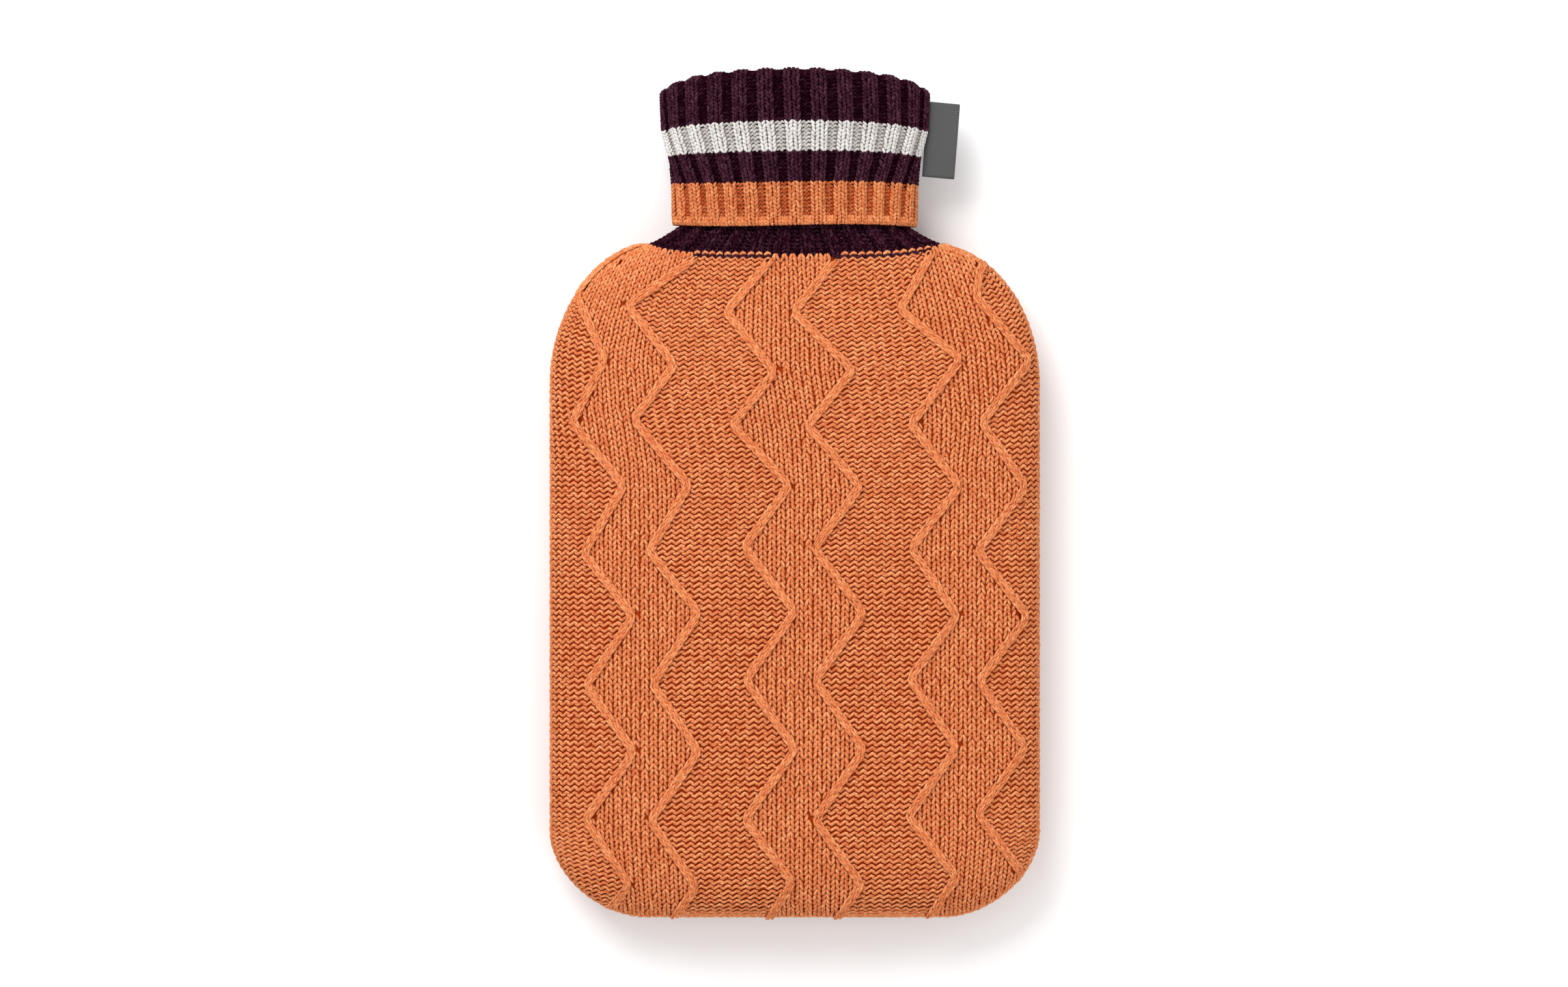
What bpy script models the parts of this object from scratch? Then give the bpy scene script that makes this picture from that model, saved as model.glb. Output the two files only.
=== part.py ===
"""A knitted hot water bottle cover with a turned-down rib collar, lying on its back.

The cover is empty but filled out, as if it held a bottle. X is across it, Y runs from its bottom edge
to the collar, and Z is up from the surface it lies on. The origin is under the middle of its box.
Run it with Blender 4.5. All sizes are in metres.
"""

import math
from typing import NamedTuple

import bmesh
import bpy

MM = 0.001

# Overall sizes.
LENGTH = 347.4 * MM  # bottom edge to the top of the collar's fold
HALF_WIDTH = 100.2 * MM  # of the body
SEAM_Z = 20.0 * MM  # height of the side seams over the surface: half of the body's thickness
GAP = 0.4 * MM  # between two pieces that are sewn together
KNIT = 3.0 * MM  # thickness of the knitted body
BOTTOM_Y = -LENGTH / 2
TOP_Y = LENGTH / 2

# The body's outline, seen from the front.
CORNER_ACROSS = 38.7 * MM  # size of a bottom corner
CORNER_UP = 34.8 * MM
CORNER_POWER = 1.8  # 2 is an ellipse, and less is flatter
SHOULDER_X = 55.0 * MM  # centre of a shoulder's ellipse
SHOULDER_Y = 44.0 * MM
SHOULDER_UP = 58.0 * MM
NECK_Y = 96.0 * MM  # where the rib starts, at the middle of the front
NECK_SIDE_Y = 101.4 * MM  # and at the side seams
NECK_POWER = 5
BODY_TOP_Y = NECK_Y - GAP / 2

# The body's swell.
FRONT_SWELL = 20.0 * MM  # how far the front stands over the seams
BACK_SWELL = 21.6 * MM  # how far the back would hang below them, if the surface didn't flatten it
SWELL_POWER = 2.8
BOTTOM_SWELL = 62.0 * MM  # how far up from the bottom edge the swell is still growing
NECK_SLIMMER = 0.15  # share of the swell lost at the neck
NECK_SLIMMING = 56.0 * MM  # over this much of the body below the neck

# The zigzag cables of the front.
BAND_HALF = 13.6 * MM  # from the middle of a band to each of its two cables
CABLE_FOOT = 2.1 * MM  # half widths of a cable, at its foot and its crest
CABLE_CREST = 1.0 * MM
CABLE_RAISED = 1.4 * MM
CABLE_FADES = 5.0 * MM  # a cable sinks into the cloth over this much before the outline


class Turn(NamedTuple):
    """A height at which all six cables turn, and where the middle of each band is there."""

    y: float
    left: float
    centre: float
    right: float


TURNS = [
    Turn(y=96.5 * MM, left=-52.5 * MM, centre=4.2 * MM, right=66.0 * MM),
    Turn(y=75.9 * MM, left=-76.8 * MM, centre=-12.6 * MM, right=59.0 * MM),
    Turn(y=51.5 * MM, left=-62.1 * MM, centre=8.6 * MM, right=81.2 * MM),
    Turn(y=28.7 * MM, left=-77.6 * MM, centre=-9.9 * MM, right=61.7 * MM),
    Turn(y=1.6 * MM, left=-55.7 * MM, centre=12.5 * MM, right=79.9 * MM),
    Turn(y=-22.3 * MM, left=-70.6 * MM, centre=-5.3 * MM, right=62.2 * MM),
    Turn(y=-49.6 * MM, left=-52.1 * MM, centre=14.5 * MM, right=80.9 * MM),
    Turn(y=-76.1 * MM, left=-70.2 * MM, centre=-4.9 * MM, right=61.0 * MM),
    Turn(y=-105.3 * MM, left=-51.7 * MM, centre=14.5 * MM, right=79.9 * MM),
    Turn(y=-133.2 * MM, left=-71.5 * MM, centre=-5.3 * MM, right=60.5 * MM),
    Turn(y=-160.2 * MM, left=-53.5 * MM, centre=12.9 * MM, right=78.1 * MM),
    Turn(y=-187.0 * MM, left=-74.0 * MM, centre=-7.0 * MM, right=58.0 * MM),
]
BANDS = ("left", "centre", "right")

# The mesh of the two panels.
EDGE_LEVELS = [0.0, 0.0015, 0.006, 0.015, 0.03]  # rows where the bottom turns in, as shares of the length
NECK_LEVELS = [0.955, 0.985, 1.0]  # rows that bend up to the neckline's corners
BEND_FROM = 0.93
ROWS_PER_TURN = 3
BACK_ROWS = 17
BACK_COLUMNS = 17
BAND_COLUMNS = 2  # plain columns inside a band, and between bands
FIELD_COLUMNS = 3
MARGIN_COLUMNS = 4  # and between the outer cables and the body's edges
MARGIN_POWER = 2  # more sets them closer to the edges
INSIDE_EVERY = 3  # the front's inner face has one column for so many of the outer face
COLUMN_STEP = 0.45 * MM  # least spacing of columns

# The rib collar. Depths are counted inwards from the ridges of the outer layer.
RIBS = 24  # knit ridges round the collar
RIDGE_SHARE = 0.19  # half of a ridge's flat top, as a share of a rib
VALLEY_SHARE = 0.31  # from the middle of a ridge to the foot of its side
RIB_RAISED = 1.2 * MM
LAYER = 3.0 * MM  # thickness of a layer at a ridge
LAYER_GAP = 0.5 * MM
WALL = 2 * LAYER + LAYER_GAP
NECK_DEPTH = LAYER + 0.8 * MM  # of the neck's ridges where the hem hangs over them
NECK_UNDER_HEM = 0.9 * MM  # the neck is that slim from this much below the hem
NECK_HOLLOW = 1.3  # more makes the neck's sides more hollow
HEM_Y = 108.5 * MM
HEM_WAVE = 0.4 * MM
HEM_WAVES = 3
HEM_ROUND = 0.9 * MM
RIM_DROP = 4.6 * MM  # how far the top of the fold falls from the front's middle to the sides
RIM_DROP_AT_SIDE = 3.3 * MM  # and further, close to the side seams
RIM_STEPS = 4  # faces round the fold
CREASE = 1.0 * MM  # the gap between the layers ends this much below the fold's start


class Finish(NamedTuple):
    """A colour, with alpha, and a roughness."""

    colour: tuple[float, float, float, float]
    roughness: float


ORANGE = Finish(colour=(0.69, 0.20, 0.075, 1.0), roughness=0.9)
PLUM = Finish(colour=(0.036, 0.010, 0.020, 1.0), roughness=0.9)
CREAM = Finish(colour=(0.62, 0.58, 0.55, 1.0), roughness=0.9)
GREY = Finish(colour=(0.055, 0.055, 0.057, 1.0), roughness=0.75)
STRIPES = [PLUM, CREAM, ORANGE]


class Section(NamedTuple):
    """The collar's outside at a share of the way from its hem to its fold, and the stripe above it."""

    share: float
    half_width: float
    half_depth: float
    stripe: Finish


SECTIONS = [
    Section(share=0.00, half_width=50.4 * MM, half_depth=17.2 * MM, stripe=ORANGE),
    Section(share=0.30, half_width=50.8 * MM, half_depth=17.6 * MM, stripe=PLUM),
    Section(share=0.51, half_width=52.4 * MM, half_depth=18.5 * MM, stripe=CREAM),
    Section(share=0.72, half_width=54.8 * MM, half_depth=19.3 * MM, stripe=PLUM),
    Section(share=1.00, half_width=55.4 * MM, half_depth=19.6 * MM, stripe=PLUM),
]

# The folded tab in the collar's right side seam.
TAB_OUT = 13.2 * MM
TAB_TOP_Y = 159.7 * MM
TAB_HEIGHT = 30.6 * MM
TAB_LAYER = 1.0 * MM
TAB_LAYER_GAP = 0.4 * MM
TAB_ROUND = 0.6 * MM
TAB_FALL = 1.2 * MM  # how much lower its outer edge lies than its sewn edge
TAB_CURL = 1.2 * MM  # how far its outer edge lifts at the middle
TAB_ROWS = 7

SHARP_DEGREES = 40


def mixed(low: float, high: float, share: float) -> float:
    """The value at a share of the way from low to high."""
    return low + (high - low) * share


def between(low: float, high: float, count: int) -> list[float]:
    """Values spread evenly between two others, without them."""
    return [mixed(low, high, (i + 1) / (count + 1)) for i in range(count)]


def eased(share: float) -> float:
    """A share held between 0 and 1, with soft ends."""
    share = min(max(share, 0.0), 1.0)
    return share * share * (3 - 2 * share)


def rounded(share: float, power: float) -> float:
    """The height of a superellipse with axes of 1, at a share of the way from its middle to its end."""
    share = min(abs(share), 1.0)
    return (1 - share**power) ** (1 / power)


# The body's shape.


def body_half_width(y: float, inset: float) -> float:
    """Half of the body's width at a height, in an outline that lies inset inside the real one."""
    if y < BOTTOM_Y + CORNER_UP:
        share = (BOTTOM_Y + CORNER_UP - y) / (CORNER_UP - inset)
        return HALF_WIDTH - CORNER_ACROSS + (CORNER_ACROSS - inset) * rounded(share, CORNER_POWER)
    if y > SHOULDER_Y:
        share = (y - SHOULDER_Y) / (SHOULDER_UP - inset)
        return SHOULDER_X + (HALF_WIDTH - SHOULDER_X - inset) * rounded(share, 2)
    return HALF_WIDTH - inset


NECK_HALF = body_half_width(NECK_SIDE_Y, 0)


def neckline_y(x: float) -> float:
    """The height of the line where the body ends and the rib starts."""
    return NECK_Y + (NECK_SIDE_Y - NECK_Y) * abs(x / NECK_HALF) ** NECK_POWER


def neck_corner(inset: float) -> float:
    """How far from the middle the neckline meets the outline that lies inset inside the real one."""
    low, high = 0.0, NECK_HALF
    for _ in range(50):
        middle = (low + high) / 2
        if middle < body_half_width(neckline_y(middle), inset):
            low = middle
        else:
            high = middle
    return low


def slimming(y: float) -> float:
    """How far on the way to the neck a height is, from 0 on the body to 1 at the neck."""
    return eased((y - (NECK_Y - NECK_SLIMMING)) / NECK_SLIMMING)


def swell(x: float, y: float, inset: float, most: float) -> float:
    """How far a face of the body stands from the plane of its seams."""
    across = rounded(x / max(body_half_width(y, inset), MM), SWELL_POWER)
    start = BOTTOM_Y + BOTTOM_SWELL
    along = rounded((start - y) / (BOTTOM_SWELL - inset), SWELL_POWER) if y < start else 1.0
    return (most * (1 - NECK_SLIMMER * slimming(y)) - inset) * across * along


def front_z(x: float, y: float, inset: float) -> float:
    """The height of the front, or of the face that lies inset behind it."""
    return SEAM_Z + max(swell(x, y, inset, FRONT_SWELL), GAP / 2)


def back_z(x: float, y: float, inset: float) -> float:
    """The height of the back, which lies flat where it rests."""
    most = mixed(BACK_SWELL, FRONT_SWELL, slimming(y))
    return max(SEAM_Z - max(swell(x, y, inset, most), GAP / 2), inset)


def cable_lines(y: float) -> list[float]:
    """Where the six cables are at a height, from left to right."""
    number = next(i for i, turn in enumerate(TURNS[1:], 1) if turn.y <= y)
    upper, lower = TURNS[number - 1], TURNS[number]
    share = (upper.y - y) / (upper.y - lower.y)
    middles = [mixed(getattr(upper, band), getattr(lower, band), share) for band in BANDS]
    return [middle + side * BAND_HALF for middle in middles for side in (-1, 1)]


# The mesh of the two panels.


def level_of(y: float) -> float:
    """A height of the body as a share of its length."""
    return (y - BOTTOM_Y) / (BODY_TOP_Y - BOTTOM_Y)


def front_levels() -> list[float]:
    """The front's rows: one at each turn of the cables, and some between them."""
    turns = [level_of(turn.y) for turn in reversed(TURNS[1:-1])]
    levels = EDGE_LEVELS + turns[:1]
    for low, high in zip(turns, turns[1:]):
        levels += between(low, high, ROWS_PER_TURN - 1) + [high]
    return levels + NECK_LEVELS


def back_levels() -> list[float]:
    """The back's rows, closer together towards its corners."""
    turns = between(0, math.pi, BACK_ROWS)
    low, high = EDGE_LEVELS[-1], NECK_LEVELS[0]
    return EDGE_LEVELS + [mixed(low, high, (1 - math.cos(turn)) / 2) for turn in turns] + NECK_LEVELS


def margin(edge: float, foot: float) -> list[tuple[float, float]]:
    """Plain columns between the body's edge and the nearest cable, closer together at the edge."""
    return [(mixed(edge, foot, share**MARGIN_POWER), 0.0) for share in between(0, 1, MARGIN_COLUMNS)]


def front_columns(y: float, edge: float) -> list[tuple[float, float]]:
    """The columns across the front at a height: where each is, and how far a cable raises it."""
    lines = cable_lines(y)
    columns = [(-edge, 0.0)] + margin(-edge, lines[0] - CABLE_FOOT)
    for number, line in enumerate(lines):
        if number:
            spare = BAND_COLUMNS if number % 2 else FIELD_COLUMNS
            columns += [(x, 0.0) for x in between(columns[-1][0], line - CABLE_FOOT, spare)]
        columns += [(line - CABLE_FOOT, 0.0), (line - CABLE_CREST, CABLE_RAISED)]
        columns += [(line + CABLE_CREST, CABLE_RAISED), (line + CABLE_FOOT, 0.0)]
    columns += margin(edge, lines[-1] + CABLE_FOOT)[::-1] + [(edge, 0.0)]
    held = []
    for number, (x, raised) in enumerate(columns):
        low = number * COLUMN_STEP - edge
        high = edge - (len(columns) - 1 - number) * COLUMN_STEP
        x = min(max(x, low), high)
        held.append((x, raised * eased((edge - abs(x)) / CABLE_FADES)))
    return held


def inside_columns(y: float, edge: float) -> list[tuple[float, float]]:
    """The columns across the inner face of the front, which is plain."""
    columns = front_columns(y, edge)
    return [(x, 0.0) for x, _ in columns[:-1:INSIDE_EVERY] + columns[-1:]]


def back_columns(_y: float, edge: float) -> list[tuple[float, float]]:
    """The columns across the back, closer together towards its edges."""
    turns = [math.pi * (i / (BACK_COLUMNS - 1) - 0.5) for i in range(BACK_COLUMNS)]
    return [(edge * math.sin(turn), 0.0) for turn in turns]


def face_rows(levels, inset, columns, height):
    """Rows of points on a face of a panel that lies inset inside its outer face."""
    corner_y = neckline_y(neck_corner(inset)) - GAP / 2
    rows = []
    for level in levels:
        middle_y = mixed(BOTTOM_Y + inset, BODY_TOP_Y, level)
        bend = max(0.0, (level - BEND_FROM) / (1 - BEND_FROM))
        side_y = middle_y + (corner_y - BODY_TOP_Y) * bend**2
        edge = body_half_width(side_y, inset)
        row = []
        for x, raised in columns(middle_y, edge):
            y = mixed(middle_y, side_y, abs(x / edge) ** NECK_POWER)
            row.append((x, y, height(x, y, inset) + raised))
        rows.append(row)
    return rows


def add_skin(mesh, rows, closed=False):
    """Fills the cells between rows of vertices, and returns the faces in rows."""
    skin = []
    for row, after in zip(rows, rows[1:]):
        ends = zip(row, row[1:] + row[:1]) if closed else zip(row, row[1:])
        afters = zip(after, after[1:] + after[:1])
        skin.append([mesh.faces.new((a, b, d, c)) for (a, b), (c, d) in zip(ends, afters)])
    return skin


def add_rim(mesh, outer, inner, every):
    """Closes the rim between an outer row and an inner one that skips most of its columns."""
    for number, (a, b) in enumerate(zip(inner, inner[1:])):
        first = number * every
        last = min(first + every, len(outer) - 1)
        for i in range(first, last):
            mesh.faces.new((a, outer[i], outer[i + 1]))
        mesh.faces.new((a, outer[last], b))


def add_panel(name, outer_rows, inner_rows, every, finish):
    """A knitted panel: its outer face, its inner face, and the rim between them."""
    mesh = bmesh.new()
    outer = [[mesh.verts.new(point) for point in row] for row in outer_rows]
    inner = [[mesh.verts.new(point) for point in row] for row in inner_rows]
    add_skin(mesh, outer)
    add_skin(mesh, inner)
    for end in (0, -1):
        add_rim(mesh, outer[end], inner[end], every)
        add_skin(mesh, [[row[end] for row in outer], [row[end] for row in inner]])
    return add_piece(name, mesh, [finish])


# The rib collar.


class Column(NamedTuple):
    """A column of the collar's mesh: its direction from the axis, and where ridges raise it."""

    across: float  # from -1 at the left seam to 1 at the right one
    up: float  # from -1 at the back to 1 at the front
    turned_ridge: bool  # on the side of the cloth that the turned-down layer shows
    neck_ridge: bool  # on its other side, which the neck shows


def collar_columns() -> list[Column]:
    """Columns at even steps of rib round the fold's ellipse, four to a rib."""
    steps = 7200
    width, depth = SECTIONS[-1].half_width, SECTIONS[-1].half_depth
    turns = [2 * math.pi * i / steps for i in range(steps + 1)]
    lengths = [0.0]
    for turn in turns[:-1]:
        lengths.append(lengths[-1] + math.hypot(width * math.cos(turn), depth * math.sin(turn)))
    columns = []
    shares = (-RIDGE_SHARE, RIDGE_SHARE, VALLEY_SHARE, 1 - VALLEY_SHARE)
    step = 0
    for rib in range(RIBS):
        for number, share in enumerate(shares):
            wanted = ((rib + share) / RIBS) % 1.0 * lengths[-1]
            step = 0 if wanted < lengths[step] else step
            while lengths[step] < wanted:
                step += 1
            turn = turns[step]
            columns.append(Column(math.sin(turn), math.cos(turn), number < 2, number >= 2))
    return columns


def outside_at(share: float) -> tuple[float, float]:
    """The collar's half width and half depth at a share of the way from its hem to its fold."""
    number = next(i for i, section in enumerate(SECTIONS[1:], 1) if share <= section.share)
    low, high = SECTIONS[number - 1], SECTIONS[number]
    along = (share - low.share) / (high.share - low.share)
    return mixed(low.half_width, high.half_width, along), mixed(low.half_depth, high.half_depth, along)


def rim_drop(across: float) -> float:
    """How much lower the fold is here than at the middle of the front."""
    return RIM_DROP * across**2 + RIM_DROP_AT_SIDE * across**8


def height_at(column: Column, share: float) -> float:
    """The height of the turned-down layer at a share of the way from its hem to its fold."""
    angle = math.atan2(column.across, column.up)
    hem = HEM_Y + HEM_WAVE * math.sin(HEM_WAVES * angle)
    fold = TOP_Y - WALL / 2
    return mixed(hem, fold, share) - rim_drop(column.across) * share**2


def layer_point(column: Column, share: float, depth: float, lift: float = 0.0):
    """A point of the collar at a depth behind its outside."""
    width, half_depth = outside_at(share)
    x = (width - depth) * column.across
    z = SEAM_Z + (half_depth - depth) * column.up
    return x, height_at(column, share) + lift, z


def neckline_point(column: Column, inset: float):
    """A point where the rib meets the body, on the body's face that lies inset inside its outer one."""
    x = neck_corner(inset) * column.across
    y = neckline_y(x) + GAP / 2
    return x, y, SEAM_Z + math.copysign(swell(x, y, inset, FRONT_SWELL), column.up)


def neck_point(column: Column, share: float):
    """A point of the neck's outside, at a share of the way from the body up to the hem."""
    start = neckline_point(column, 0)
    valley = 0.0 if column.neck_ridge else RIB_RAISED
    end = layer_point(column, 0, NECK_DEPTH + valley, lift=-NECK_UNDER_HEM)
    x, z = (mixed(start[i], end[i], share) for i in (0, 2))
    return x, mixed(start[1], end[1], share**NECK_HOLLOW), z


def collar_rows(columns):
    """The collar's rings, in order up its neck, through the gap and round the fold, each with its stripe."""

    def ring(share, depth, stripe, ribbed=0, lift=0.0):
        """ribbed is 1 on the face that looks out, -1 on the one that looks in, and 0 where it is plain."""
        row = []
        for column in columns:
            valley = 0.0 if column.turned_ridge else RIB_RAISED
            row.append(layer_point(column, share, depth + ribbed * valley, lift))
        return row, stripe

    middle = SECTIONS[2].share
    rows = [([neck_point(column, share) for column in columns], PLUM) for share in (0, 0.5, 1)]
    rows.append(ring(middle, LAYER + LAYER_GAP, PLUM))
    rows.append(ring(1, LAYER + LAYER_GAP, PLUM, lift=-CREASE))
    rows.append(ring(1, LAYER, PLUM, lift=-CREASE))
    rows.append(ring(middle, LAYER, ORANGE))
    rows.append(ring(0, LAYER, ORANGE))
    rows.append(ring(0, HEM_ROUND, ORANGE, ribbed=1))
    rows.append(ring(0, 0, ORANGE, ribbed=1, lift=HEM_ROUND))
    rows += [ring(section.share, 0, section.stripe, ribbed=1) for section in SECTIONS[1:]]
    for turn in between(0, math.pi, RIM_STEPS - 1):
        row = []
        for column in columns:
            radius = WALL / 2 - (0.0 if column.turned_ridge else RIB_RAISED)
            depth = WALL / 2 - radius * math.cos(turn)
            row.append(layer_point(column, 1, depth, lift=radius * math.sin(turn)))
        rows.append((row, PLUM))
    rows += [ring(share, WALL, PLUM, ribbed=-1) for share in (1, middle, 0)]
    rows.append(([neckline_point(column, KNIT) for column in columns], PLUM))
    return rows


def add_collar():
    """The neck and the collar turned down over it, one tube of rib in two layers."""
    mesh = bmesh.new()
    rows = collar_rows(collar_columns())
    rings = [[mesh.verts.new(point) for point in row] for row, _ in rows]
    skin = add_skin(mesh, rings + rings[:1], closed=True)
    for faces, (_, stripe) in zip(skin, rows):
        for face in faces:
            face.material_index = STRIPES.index(stripe)
    return add_piece("rib_collar", mesh, STRIPES)


# The side tab.


def tab_profile():
    """The tab's two layers and their fold, as points out from the seam and up from its middle."""
    half = TAB_LAYER + TAB_LAYER_GAP / 2
    slit = TAB_LAYER_GAP / 2
    upper = [(0.0, half), (TAB_OUT - TAB_ROUND, half), (TAB_OUT, half - TAB_ROUND)]
    inner = [(0.0, -slit), (TAB_OUT - TAB_LAYER, -slit), (TAB_OUT - TAB_LAYER, slit), (0.0, slit)]
    return upper + [(out, -up) for out, up in reversed(upper)] + inner


def add_tab():
    """The ribbon that is folded in half and sewn into the collar's right side seam."""
    mesh = bmesh.new()
    side = max(collar_columns(), key=lambda column: column.across)
    hem, fold = height_at(side, 0), height_at(side, 1)
    rows = []
    for number in range(TAB_ROWS):
        down = number / (TAB_ROWS - 1)
        y = TAB_TOP_Y - TAB_HEIGHT * down
        width, _ = outside_at((y - hem) / (fold - hem))
        row = []
        for out, up in tab_profile():
            lift = TAB_CURL * (out / TAB_OUT) ** 2 * math.sin(math.pi * down)
            x = width * side.across + GAP + out
            row.append((x, y - TAB_FALL * out / TAB_OUT, SEAM_Z + up + lift))
        rows.append([mesh.verts.new(point) for point in row])
    add_skin(mesh, rows, closed=True)
    mesh.faces.new(rows[0])
    mesh.faces.new(rows[-1])
    return add_piece("side_tab", mesh, [GREY])


# The object.


def clear_scene():
    """Removes what a new file starts with."""
    for thing in list(bpy.data.objects):
        bpy.data.objects.remove(thing)


def add_material(name: str, finish: Finish):
    """A material with one colour and roughness."""
    material = bpy.data.materials.new(name)
    material.use_nodes = True
    shader = material.node_tree.nodes["Principled BSDF"]
    shader.inputs["Base Color"].default_value = finish.colour
    shader.inputs["Roughness"].default_value = finish.roughness
    shader.inputs["Metallic"].default_value = 0.0
    return material


def add_piece(name: str, mesh, finishes):
    """Turns a closed mesh into an object with its finishes."""
    bmesh.ops.recalc_face_normals(mesh, faces=mesh.faces)
    data = bpy.data.meshes.new(name)
    mesh.to_mesh(data)
    mesh.free()
    data.shade_smooth()
    data.set_sharp_from_angle(angle=math.radians(SHARP_DEGREES))
    for number, finish in enumerate(finishes, 1):
        data.materials.append(add_material(f"{name}_{number}", finish))
    piece = bpy.data.objects.new(name, data)
    bpy.context.scene.collection.objects.link(piece)
    return piece


def main():
    """Builds the cover's four pieces."""
    clear_scene()
    levels = front_levels()
    outer = face_rows(levels, 0, front_columns, front_z)
    inner = face_rows(levels, KNIT, inside_columns, front_z)
    add_panel("front_panel", outer, inner, INSIDE_EVERY, ORANGE)
    levels = back_levels()
    outer = face_rows(levels, 0, back_columns, back_z)
    inner = face_rows(levels, KNIT, back_columns, back_z)
    add_panel("back_panel", outer, inner, 1, ORANGE)
    add_collar()
    add_tab()


main()
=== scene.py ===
"""The looks of a knitted hot water bottle cover with zigzag cables and a striped, turned-down rib collar.

Each stitch that shows is made of its own strokes of yarn, laid over a thin ground cloth that has the
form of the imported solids. Sizes are in millimetres until a mesh is made, and X, Y and Z are the
frame's: X across the front, Y along the cover towards its collar, and Z up from the surface.
"""

from __future__ import annotations

import logging
import math
import sys
from collections.abc import Callable
from dataclasses import dataclass, field, replace
from enum import Enum
from functools import cache

import bpy
import numpy as np
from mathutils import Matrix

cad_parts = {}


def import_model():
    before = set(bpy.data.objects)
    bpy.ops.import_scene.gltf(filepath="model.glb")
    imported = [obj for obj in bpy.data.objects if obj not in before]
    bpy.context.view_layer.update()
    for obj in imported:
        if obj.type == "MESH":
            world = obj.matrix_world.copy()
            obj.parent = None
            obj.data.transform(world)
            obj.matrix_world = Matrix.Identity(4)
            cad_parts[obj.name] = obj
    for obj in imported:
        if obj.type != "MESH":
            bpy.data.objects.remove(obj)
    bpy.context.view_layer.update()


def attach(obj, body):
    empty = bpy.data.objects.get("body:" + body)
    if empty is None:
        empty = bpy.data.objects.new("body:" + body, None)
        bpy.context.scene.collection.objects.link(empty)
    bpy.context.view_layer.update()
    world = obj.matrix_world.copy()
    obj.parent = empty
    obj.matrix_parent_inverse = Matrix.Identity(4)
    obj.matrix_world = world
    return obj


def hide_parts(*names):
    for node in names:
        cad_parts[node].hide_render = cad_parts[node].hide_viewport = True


LOG = logging.getLogger("cover")
MM = 0.001
BAKE_MAP = "OFBake"
MAP_ENDS = (0.001, 0.999)  # of the places that points may have in it
STRAND = "strand"  # the attribute that says where on its yarn a point is

Array = np.ndarray
Colour = tuple[float, float, float]
Number = Array | float
Socket = bpy.types.NodeSocket
Inputs = dict[str | int, Socket | float | tuple[float, ...]]
Spread = Callable[[Array, Array], Array]  # wales and courses to points
Place = Callable[[Array, Array, Array], tuple[Array, Array]]  # wales, courses and lifts to points and directions
Plan = Callable[[Array, Array], Array]  # points and their sides of the yarn to places in the bake map


def mixed(low: Number, high: Number, share: Number) -> Number:
    """The value at a share of the way from low to high."""
    return low + (high - low) * share


def eased(share: Array) -> Array:
    """A share held between 0 and 1, with soft ends."""
    share = np.clip(share, 0.0, 1.0)
    return share * share * (3 - 2 * share)


def rounded(share: Array, power: float) -> Array:
    """The height of a superellipse with axes of 1, at a share of the way from its middle to its end."""
    return (1 - np.clip(np.abs(share), 0.0, 1.0) ** power) ** (1 / power)


def unit(vectors: Array) -> Array:
    """The vectors at a length of 1."""
    lengths = np.linalg.norm(vectors, axis=-1, keepdims=True)
    return vectors / np.maximum(lengths, 1e-9)


# Finishes.


@dataclass
class Recipe:
    """A finish's material, while its pattern is put together."""

    name: str

    def __post_init__(self) -> None:
        """Makes the material, with its shader and no pattern yet."""
        self.material = bpy.data.materials.new(self.name)
        self.material.use_nodes = True
        self.shader = self.material.node_tree.nodes["Principled BSDF"]

    def feed(self, node: bpy.types.Node, inputs: Inputs) -> None:
        """Gives a node's inputs their values, or links them to the sockets that they read.

        Args:
            node: The node.
            inputs: For each input's name or number, its value or socket.
        """
        for key, value in inputs.items():
            if isinstance(value, Socket):
                self.material.node_tree.links.new(value, node.inputs[key])
            else:
                node.inputs[key].default_value = value

    def add(self, kind: str, inputs: Inputs, **settings: str) -> bpy.types.Node:
        """Adds a node.

        Args:
            kind: Its kind.
            inputs: For each input's name or number, its value or socket.
            settings: Its settings.

        Returns:
            The node.
        """
        node = self.material.node_tree.nodes.new("ShaderNode" + kind)
        for name, value in settings.items():
            setattr(node, name, value)
        self.feed(node, inputs)
        return node

    def math(self, operation: str, *values: Socket | float) -> Socket:
        """A socket with what the operation makes of the values."""
        return self.add("Math", dict(enumerate(values)), operation=operation).outputs[0]

    def blend(self, low: Colour, high: Colour, share: Socket) -> Socket:
        """A socket with the colour at a share of the way from low to high."""
        return self.add("Mix", {0: share, 6: (*low, 1.0), 7: (*high, 1.0)}, data_type="RGBA").outputs[2]

    def place(self) -> Socket:
        """A socket with the point's place on the object."""
        return self.add("TexCoord", {}).outputs["Object"]

    def bump(self, height: Socket, strength: float, depth: float) -> None:
        """Raises the surface by a height of 1 as far as the depth, in mm."""
        bump = self.add("Bump", {"Strength": strength, "Distance": depth * MM, "Height": height})
        self.feed(self.shader, {"Normal": bump.outputs[0]})

    def finished(self, inputs: Inputs) -> bpy.types.Material:
        """Gives the shader its inputs, and returns the material."""
        self.feed(self.shader, inputs)
        return self.material


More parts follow.
